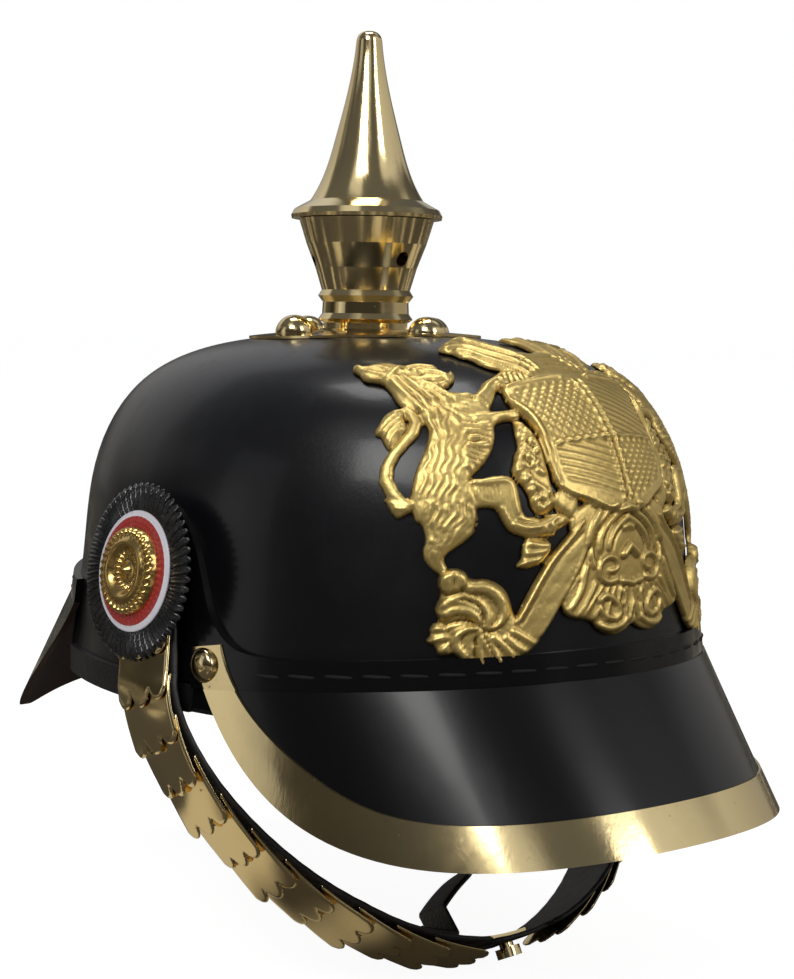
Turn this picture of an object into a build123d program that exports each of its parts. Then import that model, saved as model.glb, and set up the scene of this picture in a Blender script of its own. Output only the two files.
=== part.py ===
"""A leather spiked helmet with brass fittings, in millimetres.

The front is -Y, the wearer's right is -X and up is +Z. The origin is the centre of
the head opening, in the plane of the shell's lower edge.
"""
import os
from math import cos, radians, sin

from build123d import *

os.makedirs("parts", exist_ok=True)

# Fits and shared values
fit_gap = 0.3
slip_gap = 0.1
run_gap = 0.05
brass = 0.8
overrun = 30.0

# Leather shell
shell_width = 188.0
shell_length = 226.4
crown_height = 115.8
leather = 3.0
crown_shares = [
    (1.068, 0.0),
    (1.019, 0.345),
    (0.989, 0.561),
    (0.925, 0.721),
    (0.806, 0.853),
    (0.606, 0.944),
    (0.319, 0.988),
    (0.0, 1.0),
]
foot_tangent_share = (-0.115, 1.0)
top_tangent_share = (-1.0, 0.0)
crown_ovals = 20
crown_top_share = 0.95
plan_stretch = shell_length / shell_width

# Folded leather edge of the shell
binding_leather = 1.4
binding_height = 7.5
binding_front = 26.0
binding_back = 56.0

# Visors
visor_leather = 2.4
visor_seam_shares = (1.0643, 1.0565)
front_seam_height = 4.4
front_seam_slope = 0.08
front_flare_width = 218.2
front_flare_reach = 172.9
front_flare_centre = 7.8
flare_drop = 45.0
rear_seam_shares = (1.041, 1.041)
rear_seam_height = 19.0
rear_seam_slope = 0.044
rear_flare_width = 239.0
rear_flare_reach = 160.3
rear_flare_centre = 6.8
stitch_band = 9.0
rear_stitch_band = 8.0

# Side view outlines of the visors, from the side to the middle: place and height
front_edge = [
    (-27.5, 20.0),
    (-35.6, 6.5),
    (-47.5, -8.5),
    (-67.1, -23.7),
    (-97.7, -33.7),
    (-125.9, -34.3),
    (-146.4, -31.3),
    (-165.0, -27.0),
]
trim_inner_edge = [
    (-37.5, 21.0),
    (-46.0, 7.0),
    (-56.5, -2.5),
    (-73.0, -13.0),
    (-95.5, -21.8),
    (-121.0, -23.0),
    (-141.0, -20.3),
    (-165.0, -15.5),
]
ear_outline = [
    (-60.0, 18.2),
    (-50.0, 18.6),
    (-41.5, 20.4),
    (-35.0, 25.2),
    (-30.5, 32.0),
    (-27.0, 41.0),
    (-23.0, 50.5),
    (-16.0, 58.8),
    (-5.5, 63.0),
    (9.0, 56.0),
    (14.0, 38.0),
    (9.0, 18.0),
    (-8.0, 10.0),
    (-27.5, 8.0),
]
rear_edge = [
    (57.0, 22.0),
    (61.0, 14.0),
    (70.0, 5.0),
    (82.0, -4.5),
    (98.0, -14.5),
    (112.0, -22.5),
    (127.0, -28.5),
    (142.0, -27.5),
    (170.0, -17.0),
]

# Spike
spike_place = 7.8
base_radius = 40.8
base_bore = 11.5
base_gap = 0.2
collar_radius = 16.2
collar_top = 117.0
neck_outline = [
    (14.8, 117.0),
    (14.8, 119.0),
    (16.7, 120.3),
    (15.3, 122.3),
    (15.1, 126.2),
    (16.8, 128.4),
    (15.5, 130.4),
    (17.8, 138.1),
    (21.0, 146.4),
    (23.7, 155.0),
]
neck_bore = 13.2
neck_bore_top = 131.0
neck_cup_radius = 22.6
bridge_height = 148.0
bridge_thickness = 1.6
socket_radius = 5.0
socket_depth = 9.0
vent_radius = 2.5
vent_height = 141.0
vent_count = 3
vent_start = -90.0
full_turn = 360.0
cone_outline = [
    (26.3, 155.2),
    (26.5, 156.4),
    (25.4, 158.4),
    (19.9, 161.4),
    (14.9, 171.3),
    (11.2, 183.7),
    (8.0, 196.2),
    (5.5, 208.6),
    (4.5, 216.4),
]
cone_tip_height = 220.0
tip_tangent = (-0.1, 1)
cone_plate = 1.8
cone_wall = 1.2
screw_radius = 3.0
screw_length = 18.0
screw_head_radius = 6.0
screw_head = 2.4

# Domed studs that hold the spike's base
stud_circle = 31.9
stud_radius = 6.5
stud_dome = 6.0
stud_shank = 2.0
stud_shank_length = 10.5
stud_seat = 115.4
stud_skirt = 4.0
stud_count = 4
stud_nut_radius = 4.2
stud_nut_low = 106.5
stud_nut_length = 7.0

# Front plate: outlines in the plane that faces it, half of them on the wearer's right
plate_tilt = 30.0
plate_gap = 0.4
plate_metal = 1.5
plate_reach = 170.0
lion_body = [
    (-55.3, 50.0), (-53.2, 40.0), (-53.4, 31.9), (-59.0, 23.0), (-61.9, 14.0), (-60.0, 6.9),
    (-60.3, -1.0), (-58.5, -9.0), (-51.0, -11.0), (-54.8, -4.5), (-53.0, -0.8), (-47.5, 3.3),
    (-46.4, 10.0), (-46.0, 16.6), (-41.0, 20.7), (-36.6, 28.0), (-34.0, 35.3), (-35.3, 43.0),
    (-41.0, 47.5), (-47.0, 52.0),
]
lion_head = [
    (-55.0, 49.0), (-54.0, 55.0), (-57.0, 59.0), (-56.3, 64.8), (-51.4, 65.2), (-45.0, 62.5),
    (-37.0, 57.0), (-36.0, 52.0), (-40.5, 47.0), (-48.0, 44.0),
]
lion_upper_arm = [
    (-36.0, 43.5), (-30.0, 47.2), (-22.8, 50.0), (-16.5, 49.2), (-21.0, 44.5), (-28.0, 40.5),
    (-34.5, 36.0),
]
lion_lower_arm = [(-37.0, 36.0), (-31.0, 34.2), (-25.0, 34.4), (-25.5, 30.8), (-32.0, 30.3), (-38.0, 28.0)]
lion_raised_leg = [
    (-47.5, 16.8), (-41.0, 15.8), (-37.0, 12.5), (-35.4, 6.0), (-33.0, 1.4), (-25.3, 0.4),
    (-19.5, -2.5), (-26.9, -5.6), (-34.0, -5.0), (-39.8, -1.5), (-43.0, 4.0), (-48.0, 6.0),
]
lion_tail = [
    (-59.5, 11.5), (-64.6, 16.5), (-66.0, 24.0), (-62.6, 31.0), (-55.8, 36.0), (-53.6, 40.5),
    (-55.5, 43.0),
]
lion_tail_width = 3.2
lion_tail_tuft = [(-62.3, 32.8), (-64.0, 38.5), (-60.0, 43.8), (-55.0, 44.4), (-56.5, 38.0)]
scroll_coil = [
    (-57.5, -8.0), (-48.0, -10.8), (-41.0, -17.2), (-39.0, -25.8), (-37.5, -33.0), (-43.0, -37.0),
    (-50.0, -35.6), (-56.0, -29.7), (-59.0, -22.0), (-59.0, -13.3),
]
scroll_leaf = [(-56.0, -17.0), (-61.8, -21.5), (-61.5, -27.5), (-54.0, -31.0)]
ribbon_band = [
    (-40.5, -27.0), (-29.8, -12.5), (-21.0, -5.5), (-14.0, -9.0), (-17.0, -16.0), (-25.2, -24.0),
    (-31.3, -31.5), (-38.5, -36.0),
]
shield_half = [
    (0.0, 44.0), (-13.4, 43.4), (-26.6, 42.0), (-27.8, 36.0), (-24.6, 29.0), (-23.6, 20.0),
    (-24.8, 11.0), (-21.6, 5.0), (-14.0, 1.0), (0.0, -4.0),
]
garland = [
    (-27.5, 34.0), (-31.3, 28.5), (-33.8, 21.0), (-36.0, 14.6), (-34.2, 8.0), (-32.4, 1.6),
    (-27.0, -0.2), (-22.0, 5.0), (-22.5, 20.0), (-23.0, 30.0),
]
mantling = [
    (0.0, 57.5), (-5.0, 62.0), (-12.0, 68.5), (-24.5, 70.5), (-26.0, 62.0), (-24.0, 54.7),
    (-17.0, 47.5), (-12.0, 41.0), (0.0, 41.0),
]
lower_rosette = [
    (0.0, 2.0), (-14.0, 1.5), (-19.5, -6.0), (-22.0, -15.0), (-26.0, -23.0), (-24.0, -28.5),
    (-14.5, -34.8), (-7.8, -36.8), (-2.5, -34.8), (0.0, -37.8),
]
loop_places = [(-20.0, 66.0), (20.0, 66.0)]
loop_radius = 2.2
loop_inner_reach = 97.0
wedge_reach = 99.6
wedge_radius = 0.9
wedge_length = 12.0

# Side posts that carry the chin scales
post_place = -5.5
post_height = 40.0
post_radius = 2.0
post_tip = 105.4
post_inner = 88.6
nut_start = 89.4
washer = 1.6
collar_washer_radius = 4.5
collar_washer_end = 98.9
strap_reach = 100.8
nut_radius = 5.0
nut_thickness = 2.6

# Chin scales: the line of the lining's middle, on the wearer's left
knee = (105.6, -13.6, 8.0)
knee_handle = 31.0
chin_handle = 70.0
chin = (0.0, -67.2, -84.5)
lining = 1.6
lining_top = 13.0
lining_margin = 1.5
lining_end = 16.0
lining_hole = 2.3
scale_count = 13
first_scale = -8.0
scale_pitch = 14.2
scale_length = 21.3
scale_head = 1.5
scale_metal = 0.8
scale_gap = 0.25
scale_seat = 0.2
top_width = 26.5
end_width = 22.5
lobe_rise = 5.0
lobe_peak = 0.8
notch_rise = 3.2
lobe_peak_share = 0.72
lobe_mid_share = 0.36
lean_end = 28.0
lean_start_share = 0.17
lean_length_share = 0.5

# Cockade and rosette
cockade_radius = 28.0
cockade_metal = 1.2
cockade_lift = 3.55
cockade_hole = 3.3
petal_count = 56
petal_depth = 2.6
ring_radius = 19.0
ring_metal = 0.8
stack_gap = 0.1
rosette_outline = [
    (0.0, 0.0), (14.0, 0.0), (14.0, 1.8), (12.6, 2.8), (11.0, 2.4), (9.2, 4.0), (7.0, 4.6),
    (5.6, 3.8), (3.4, 4.2), (1.8, 5.2), (0.0, 5.5),
]

# Chin fastening
end_strap_width = 19.0
end_strap_reach = 15.0
slot_length = 12.0
slot_width = 5.6
slot_place = 3.0
tab_width = 12.0
tab_metal = 1.0
tab_gap = 0.25
chain_step = 5.0
tab_steps = 9
end_steps = 3
hold_steps = 3
button_radius = 2.4
button_knob_radius = 4.2
button_clear = 1.4
button_knob = 3.2
adjuster_width = 15.0
adjuster_leather = 1.6
adjuster_start = 40.0
adjuster_bend = (-24.0, -58.0, -72.5)
adjuster_tip = (-4.0, -52.5, -63.5)

# Liner
liner_leather = 1.8
liner_inset = 6.5
liner_top_inset = 24.0
band_height = 38.0
finger_count = 9
finger_slot = 5.0
finger_hole = 24.0
liner_foot = 2.0

# Form of a domed head
dome_side_share = 0.8
dome_up_share = 0.6
dome_tangents = [(0, 1), (-1, 0)]
rivet_place = -32.0
rivet_height = 14.0
rivet_reach = 98.3
rivet_radius = 5.5
rivet_dome = 3.0
rivet_skirt = 2.5
rivet_shank = 1.5
rivet_shank_length = 3.0
head_gap = 0.05


def crown_solid(inset):
    """The shell's outside as a full dome, moved in by inset."""
    return dome_solid(shell_width / 2 - inset, crown_height - inset)


def dome_solid(half_width, height):
    """A dome of the crown's form, lofted through ovals up to the hole for the spike."""
    with BuildLine() as profile:
        Spline(
            *[(half_width * across, height * up) for across, up in crown_shares],
            tangents=[foot_tangent_share, top_tangent_share],
        )
    with BuildPart() as dome:
        for step in range(crown_ovals):
            point = profile.edges()[0].position_at(crown_top_share * step / (crown_ovals - 1))
            with BuildSketch(Plane.XY.offset(point.Y)):
                Ellipse(point.X, point.X * plan_stretch)
        loft()
    return dome.part


def seam_plane(height, slope):
    """The tilted plane in which a visor is sewn to the shell."""
    return Plane(origin=(0, 0, height), x_dir=(1, 0, 0), z_dir=(0, -slope, 1))


def flare_solid(seam, seam_shares, width, reach, centre, inset):
    """A cone from the seam's oval to a wider oval below it, moved in by inset."""
    seam_half = shell_width / 2 + visor_leather
    across, along = seam_shares
    with BuildPart() as cone:
        with BuildSketch(seam):
            Ellipse(seam_half * across - inset, seam_half * plan_stretch * along - inset)
        with BuildSketch(Plane.XY.offset(-flare_drop)):
            with Locations((0, centre)):
                Ellipse(width / 2 - inset, reach - inset)
        loft(ruled=True)
    return cone.part


def front_flare(inset):
    """The cone that the front visor is cut from."""
    seam = seam_plane(front_seam_height, -front_seam_slope)
    cone = (visor_seam_shares, front_flare_width, front_flare_reach, front_flare_centre)
    return flare_solid(seam, *cone, inset)


def rear_flare(inset):
    """The cone that the rear visor is cut from."""
    seam = seam_plane(rear_seam_height, rear_seam_slope)
    cone = (rear_seam_shares, rear_flare_width, rear_flare_reach, rear_flare_centre)
    return flare_solid(seam, *cone, inset)


def side_cut(outline, far, high, grow):
    """A block seen from the side: everything above and beyond a spline outline."""
    toward = 1 if far < 0 else -1
    edge = [(place + toward * grow, up - grow) for place, up in outline]
    with BuildPart() as block:
        with BuildSketch(Plane.YZ):
            with BuildLine():
                Spline(*edge)
                Polyline(edge[-1], (far, edge[-1][1]), (far, high), (edge[0][0], high), edge[0])
            make_face()
        extrude(amount=shell_width, both=True)
    return block.part


def strip_solid(stations, plane_at, lift, thick, widths):
    """A thin strap as a ruled loft of cross sections along the chin strap's line."""
    with BuildPart() as strip:
        for station, width in zip(stations, widths):
            at = plane_at(station)
            middle = at.origin + at.z_dir * (lift(station) + thick / 2)
            with BuildSketch(Plane(origin=middle, x_dir=at.x_dir, z_dir=at.y_dir)):
                Rectangle(width, thick)
        loft(ruled=True)
    return strip.part


def strap_plane(reach):
    """The lining's middle at a reach below the post: x across, y down the strap, z out."""
    along = min(max(reach + lining_top, 0), strap_wire.length)
    point = strap_wire.position_at(along, position_mode=PositionMode.LENGTH)
    down = strap_wire.tangent_at(along, position_mode=PositionMode.LENGTH)
    share = min(max((reach / strap_length - lean_start_share) / lean_length_share, 0), 1)
    lean = radians(lean_end * share)
    across = Vector(0, -cos(lean), sin(lean))
    across = (across - down * across.dot(down)).normalized()
    return Plane(origin=point, x_dir=across, z_dir=across.cross(down))


def chain_plane(reach):
    """As strap_plane, and on past the chin up the other side."""
    if reach <= strap_length:
        return strap_plane(reach)
    twin = strap_plane(2 * strap_length - reach)
    point = Vector(-twin.origin.X, twin.origin.Y, twin.origin.Z)
    across = Vector(-twin.x_dir.X, twin.x_dir.Y, twin.x_dir.Z)
    out = Vector(-twin.z_dir.X, twin.z_dir.Y, twin.z_dir.Z)
    return Plane(origin=point, x_dir=across, z_dir=out)


def scale_width(reach):
    """Width of the scales and the lining, narrower toward the chin."""
    share = min(max(reach / strap_length, 0), 1)
    return top_width + (end_width - top_width) * share


def scale_solid(count):
    """One chin scale on the wearer's left: a curved plate with three lobes below."""
    head = first_scale + scale_pitch * count
    width = scale_width(head)
    rise = (scale_metal + scale_gap) / scale_pitch
    stations = [head - scale_head, head]
    stations += [head + scale_pitch * step / 2 for step in range(1, 3)]
    stations += [head + scale_length]
    base = lining / 2 + scale_seat
    with BuildPart() as scale_plate:
        add(strip_solid(stations, strap_plane, lambda s: base + (s - head) * rise, scale_metal, [width] * 5))
        middle = strap_plane(head + scale_pitch / 2)
        half = width / 2
        mid_lobe = half * lobe_mid_share
        tail = scale_length - scale_pitch / 2
        top = -(scale_pitch / 2 + scale_head)
        side = tail - lobe_rise
        notch = tail - notch_rise
        peak = tail - lobe_peak
        peak_place = half * lobe_peak_share
        with BuildSketch(middle):
            with BuildLine():
                Polyline((-half, side), (-half, top), (half, top), (half, side))
                ThreePointArc((half, side), (peak_place, peak), (mid_lobe, notch))
                ThreePointArc((mid_lobe, notch), (0, tail), (-mid_lobe, notch))
                ThreePointArc((-mid_lobe, notch), (-peak_place, peak), (-half, side))
            make_face()
        extrude(amount=scale_pitch, both=True, mode=Mode.INTERSECT)
        if count == 0:
            add(strap_post_hole.part, mode=Mode.SUBTRACT)
    return scale_plate.part


def mirrored(piece):
    """The same piece on the wearer's right."""
    with BuildPart() as twin:
        add(piece)
        mirror(about=Plane.YZ, mode=Mode.REPLACE)
    return twin.part


def dome_stud(radius, height, skirt, shank, shank_length):
    """A domed head along +Z with a skirt below it, on a straight shank."""
    with BuildPart() as stud:
        with BuildSketch(Plane.XZ):
            with BuildLine():
                Polyline((0, height), (0, -shank_length), (shank, -shank_length), (shank, -skirt))
                Polyline((shank, -skirt), (radius, -skirt), (radius, 0))
                shoulder = (radius * dome_side_share, height * dome_up_share)
                Spline((radius, 0), shoulder, (0, height), tangents=dome_tangents)
            make_face()
        revolve(axis=Axis.Z)
    return stud.part


def on_half(outlines, stem, stem_width):
    """Closed outlines filled and joined with a stem, and their mirror image."""
    with BuildSketch() as relief:
        for outline in outlines:
            with BuildLine():
                Polyline(*outline, close=True)
            make_face()
        with BuildLine():
            stem_line = Polyline(*stem)
        trace(stem_line, line_width=stem_width)
        mirror(about=Plane.YZ)
    return relief.sketch


strap_head = Vector(strap_reach, post_place, post_height)
strap_fall = (Vector(*knee) - strap_head).normalized()
with BuildLine() as strap_line:
    Line(strap_head - strap_fall * lining_top, Vector(*knee))
    Bezier(Vector(*knee), Vector(*knee) + strap_fall * knee_handle, (chin_handle, chin[1], chin[2]), chin)
strap_wire = strap_line.wires()[0]
strap_length = strap_wire.length - lining_top

crown_outer = crown_solid(0)
crown_inner = crown_solid(leather)
crown_skin = crown_solid(-slip_gap)
crown_over = crown_solid(-visor_leather)
foot_half = shell_width / 2 * crown_shares[0][0]
front_far = -(front_flare_reach + overrun)
rear_far = rear_flare_reach + overrun
spike_axis = Axis((0, spike_place, 0), (0, 0, 1))

# Holes in the shell for the posts, the plate's loops, the studs and the spike
with BuildPart() as post_holes:
    with BuildSketch(Plane.YZ):
        with Locations((post_place, post_height)):
            Circle(post_radius + slip_gap)
    extrude(amount=shell_width, both=True)

with BuildPart() as loop_holes:
    with BuildSketch(Plane.XZ):
        with Locations(*loop_places):
            Circle(loop_radius + slip_gap)
    extrude(amount=shell_length)

with BuildPart() as stud_holes:
    with BuildSketch(Plane.XY.offset(crown_height / 2)):
        with Locations((0, spike_place)):
            Circle(base_bore)
            with PolarLocations(stud_circle, stud_count):
                Circle(stud_shank + slip_gap)
    extrude(amount=crown_height)

# Skull shell
with BuildPart() as skull_shell:
    add(crown_outer)
    add(crown_inner, mode=Mode.SUBTRACT)
    add(post_holes.part, mode=Mode.SUBTRACT)
    add(loop_holes.part, mode=Mode.SUBTRACT)
    add(stud_holes.part, mode=Mode.SUBTRACT)

# Folded edge: an inner lip all round and an outer lip between the visors
lip_inner_inset = leather + slip_gap + binding_leather
lip_foot = (shell_width / 2 - lip_inner_inset) * crown_shares[0][0]
with BuildPart() as inner_lip:
    add(crown_solid(leather + slip_gap))
    add(crown_solid(lip_inner_inset), mode=Mode.SUBTRACT)
    with BuildSketch(Plane.XY.offset(binding_height)):
        Rectangle(2 * shell_length, 2 * shell_length)
    extrude(amount=crown_height, mode=Mode.SUBTRACT)
    with BuildSketch(Plane.XY.offset(-slip_gap)):
        lip_outer = lip_foot + binding_leather
        Ellipse(lip_outer, lip_outer * plan_stretch)
        Ellipse(lip_foot, lip_foot * plan_stretch, mode=Mode.SUBTRACT)
    extrude(amount=slip_gap)

with BuildPart() as outer_lip:
    with BuildSketch(Plane.XY.offset(-binding_leather)):
        Ellipse(foot_half + binding_leather, foot_half * plan_stretch + binding_leather)
    extrude(amount=binding_leather + binding_height)
    add(crown_skin, mode=Mode.SUBTRACT)
    with BuildSketch(Plane.YZ):
        with Locations(((binding_back - binding_front) / 2, 0)):
            Rectangle(binding_back + binding_front, 2 * binding_height)
    extrude(amount=shell_width, both=True, mode=Mode.INTERSECT)

with BuildPart() as rim_binding:
    with BuildSketch(Plane.XY.offset(-binding_leather)):
        Ellipse(foot_half, foot_half * plan_stretch)
    extrude(amount=binding_leather - slip_gap)
    add(inner_lip.part)
    add(outer_lip.part)
    with BuildSketch(Plane.XY.offset(-2 * binding_leather)):
        Ellipse(lip_foot, lip_foot * plan_stretch)
    extrude(amount=2 * binding_leather, mode=Mode.SUBTRACT)

# Room that the shell and its folded edge take inside the visors
with BuildPart() as shell_room:
    add(crown_skin)
    with BuildSketch(Plane.XY.offset(-binding_leather - slip_gap)):
        Ellipse(foot_half + slip_gap, foot_half * plan_stretch + slip_gap)
    extrude(amount=binding_leather + slip_gap)

# Walls of the visors before they are joined to their sewn bands
with BuildPart() as front_wall:
    add(front_flare(0))
    add(front_flare(visor_leather), mode=Mode.SUBTRACT)
    add(side_cut(front_edge, front_far, crown_height, 0), mode=Mode.INTERSECT)
    add(shell_room.part, mode=Mode.SUBTRACT)

with BuildPart() as rear_wall:
    add(rear_flare(0))
    add(rear_flare(visor_leather), mode=Mode.SUBTRACT)
    add(side_cut(rear_edge, rear_far, crown_height, 0), mode=Mode.INTERSECT)
    add(shell_room.part, mode=Mode.SUBTRACT)

# The trim's folded wall, with room for the visor's leather inside it
with BuildPart() as trim_room:
    add(front_flare(-slip_gap))
    add(front_flare(visor_leather + slip_gap), mode=Mode.SUBTRACT)
    add(side_cut(front_edge, front_far, crown_height, slip_gap), mode=Mode.INTERSECT)

trim_fold = slip_gap + brass
with BuildPart() as trim_span:
    with BuildSketch(Plane.YZ):
        outer_line = [(place + trim_fold, up - trim_fold) for place, up in front_edge]
        with BuildLine():
            Spline(*outer_line)
            Line(outer_line[-1], trim_inner_edge[-1])
            Spline(*reversed(trim_inner_edge))
            Line(trim_inner_edge[0], outer_line[0])
        make_face()
    extrude(amount=shell_width, both=True)

with BuildPart() as trim_wall:
    add(front_flare(-trim_fold))
    add(front_flare(visor_leather + trim_fold), mode=Mode.SUBTRACT)
    add(trim_span.part, mode=Mode.INTERSECT)
    add(trim_room.part, mode=Mode.SUBTRACT)
    add(crown_solid(-2 * slip_gap), mode=Mode.SUBTRACT)
    with BuildSketch(Plane.XY.offset(-flare_drop)):
        Ellipse(foot_half + fit_gap, foot_half * plan_stretch + fit_gap)
    extrude(amount=flare_drop, mode=Mode.SUBTRACT)

with BuildPart() as trim_end:
    add(crown_solid(-visor_leather - trim_fold))
    add(crown_solid(-visor_leather - slip_gap), mode=Mode.SUBTRACT)
    add(trim_span.part, mode=Mode.INTERSECT)
    with BuildSketch(seam_plane(front_seam_height, -front_seam_slope)):
        Rectangle(2 * shell_length, 2 * shell_length)
    extrude(amount=flare_drop, dir=(0, 0, -1), mode=Mode.SUBTRACT)

# Front visor: a cone below the seam, a sewn band and an ear above it
with BuildPart() as front_visor:
    add(crown_over)
    add(crown_skin, mode=Mode.SUBTRACT)
    with BuildSketch(Plane.YZ):
        with BuildLine():
            ear_start = ear_outline[0]
            ear_end = ear_outline[-1]
            Spline(*ear_outline)
            Polyline(
                ear_end,
                (ear_end[0], front_seam_height - front_seam_slope * ear_end[0]),
                (front_far, front_seam_height - front_seam_slope * front_far),
                (front_far, front_seam_height - front_seam_slope * front_far + stitch_band),
                ear_start,
            )
        make_face()
    extrude(amount=shell_width, both=True, mode=Mode.INTERSECT)
    add(front_wall.part)
    add(post_holes.part, mode=Mode.SUBTRACT)

# Brass trim folded over the front visor's edge, its ends carried up over the ears
with BuildPart() as visor_trim:
    add(trim_wall.part)
    add(trim_end.part)

# Rear visor: a cone below the seam and a sewn band above it
with BuildPart() as rear_visor:
    add(crown_over)
    add(crown_skin, mode=Mode.SUBTRACT)
    with BuildSketch(Plane.YZ):
        rear_start = rear_edge[0][0]
        with BuildLine():
            Polyline(
                (rear_start, rear_seam_height + rear_seam_slope * rear_start),
                (rear_far, rear_seam_height + rear_seam_slope * rear_far),
                (rear_far, rear_seam_height + rear_seam_slope * rear_far + rear_stitch_band),
                (rear_start, rear_seam_height + rear_seam_slope * rear_start + rear_stitch_band),
                close=True,
            )
        make_face()
    extrude(amount=shell_width, both=True, mode=Mode.INTERSECT)
    add(rear_wall.part)

# Rivets at the ends of the trim
rivet_shape = dome_stud(rivet_radius, rivet_dome, rivet_skirt, rivet_shank, rivet_shank_length)
with BuildPart() as trim_rivets:
    with Locations(Location((rivet_reach, rivet_place, rivet_height), (0, 90, 0))):
        add(rivet_shape)
    with Locations(Location((-rivet_reach, rivet_place, rivet_height), (0, -90, 0))):
        add(rivet_shape)
    add(crown_solid(-visor_leather - trim_fold - head_gap), mode=Mode.SUBTRACT)

# Spike base: a thin disc that follows the crown, with a raised collar
with BuildPart() as base_room:
    with BuildSketch(Plane.XY.offset(crown_height / 2)):
        with Locations((0, spike_place)):
            Circle(base_radius)
    extrude(amount=crown_height)

with BuildPart() as spike_base:
    add(crown_solid(-base_gap - brass))
    add(base_room.part, mode=Mode.INTERSECT)
    with BuildSketch(Plane.XY.offset(crown_height / 2)):
        with Locations((0, spike_place)):
            Circle(collar_radius)
    extrude(amount=collar_top - crown_height / 2)
    add(crown_solid(-base_gap), mode=Mode.SUBTRACT)
    add(stud_holes.part, mode=Mode.SUBTRACT)

# Domed studs through the base and the shell, and their nuts inside
stud_shape = dome_stud(stud_radius, stud_dome, stud_skirt, stud_shank, stud_shank_length)
with BuildPart() as stud_trim:
    add(crown_solid(-base_gap - brass - head_gap))
    with BuildSketch(Plane.XY.offset(crown_height / 2)):
        with Locations((0, spike_place)):
            with PolarLocations(stud_circle, stud_count):
                Circle(stud_shank)
    extrude(amount=crown_height, mode=Mode.SUBTRACT)

with BuildPart() as base_studs:
    with Locations((0, spike_place, stud_seat)):
        with PolarLocations(stud_circle, stud_count):
            add(stud_shape)
    add(stud_trim.part, mode=Mode.SUBTRACT)

with BuildPart() as base_stud_nuts:
    with BuildSketch(Plane.XY.offset(stud_nut_low)):
        with Locations((0, spike_place)):
            with PolarLocations(stud_circle, stud_count):
                RegularPolygon(stud_nut_radius, 6)
    extrude(amount=stud_nut_length)
    add(crown_solid(leather + slip_gap), mode=Mode.INTERSECT)
    with BuildSketch(Plane.XY.offset(stud_nut_low)):
        with Locations((0, spike_place)):
            with PolarLocations(stud_circle, stud_count):
                Circle(stud_shank + slip_gap)
    extrude(amount=stud_nut_length, mode=Mode.SUBTRACT)

# Neck: a turned cup with vents and a threaded bridge for the spike's screw
spike_plane = Plane(origin=(0, spike_place, 0), x_dir=(1, 0, 0), z_dir=(0, -1, 0))
with BuildPart() as neck_solid:
    with BuildSketch(spike_plane):
        with BuildLine():
            Polyline(*neck_outline)
            Polyline(neck_outline[-1], (0, neck_outline[-1][1]), (0, neck_outline[0][1]), neck_outline[0])
        make_face()
    revolve(axis=spike_axis)

with BuildPart() as spike_neck:
    add(neck_solid.part)
    with BuildSketch(spike_plane):
        with BuildLine():
            Polyline(
                (0, neck_outline[0][1]),
                (neck_bore, neck_outline[0][1]),
                (neck_bore, neck_bore_top),
                (neck_cup_radius, neck_outline[-1][1]),
                (0, neck_outline[-1][1]),
                close=True,
            )
        make_face()
    revolve(axis=spike_axis, mode=Mode.SUBTRACT)
    with BuildSketch(Plane.XY.offset(bridge_height - bridge_thickness)):
        with Locations((0, spike_place)):
            Rectangle(2 * base_radius, 2 * socket_radius)
    extrude(amount=bridge_thickness)
    with BuildSketch(Plane.XY.offset(bridge_height - socket_depth)):
        with Locations((0, spike_place)):
            Circle(socket_radius)
    extrude(amount=socket_depth)
    add(neck_solid.part, mode=Mode.INTERSECT)
    with BuildSketch(Plane.XY.offset(bridge_height - socket_depth)):
        with Locations((0, spike_place)):
            Circle(screw_radius + run_gap)
    extrude(amount=socket_depth, mode=Mode.SUBTRACT)
    for turn in range(vent_count):
        bearing = radians(vent_start + turn * full_turn / vent_count)
        outward = (cos(bearing), sin(bearing), 0)
        with BuildSketch(Plane(origin=(0, spike_place, vent_height), x_dir=(0, 0, 1), z_dir=outward)):
            Circle(vent_radius)
        extrude(amount=base_radius, mode=Mode.SUBTRACT)

# Tapered spike with a rounded tip, hollow at the foot, and its screw
with BuildPart() as spike_cone:
    with BuildSketch(spike_plane):
        with BuildLine():
            Polyline((0, cone_outline[0][1]), *cone_outline[:4])
            Spline(*cone_outline[3:])
            tip_shoulder = cone_outline[-1]
            Spline(tip_shoulder, (0, cone_tip_height), tangents=[tip_tangent, (-1, 0)])
            Line((0, cone_tip_height), (0, cone_outline[0][1]))
        make_face()
    revolve(axis=spike_axis)
    with BuildSketch(spike_plane):
        floor_height = cone_outline[0][1] + cone_plate
        with BuildLine():
            Polyline(
                (0, floor_height),
                (cone_outline[3][0] - cone_wall, floor_height),
                (cone_outline[4][0] - cone_wall, cone_outline[4][1]),
                (cone_outline[5][0] - cone_wall, cone_outline[5][1]),
                (0, cone_outline[6][1]),
                close=True,
            )
        make_face()
    revolve(axis=spike_axis, mode=Mode.SUBTRACT)
    with BuildSketch(Plane.XY.offset(cone_outline[0][1])):
        with Locations((0, spike_place)):
            Circle(screw_radius + slip_gap)
    extrude(amount=cone_plate, mode=Mode.SUBTRACT)

with BuildPart() as spike_screw:
    with BuildSketch(Plane.XY.offset(floor_height + slip_gap)):
        with Locations((0, spike_place)):
            RegularPolygon(screw_head_radius, 6)
    extrude(amount=screw_head)
    with BuildSketch(Plane.XY.offset(floor_height + slip_gap)):
        with Locations((0, spike_place)):
            Circle(screw_radius)
    extrude(amount=-screw_length)

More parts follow.
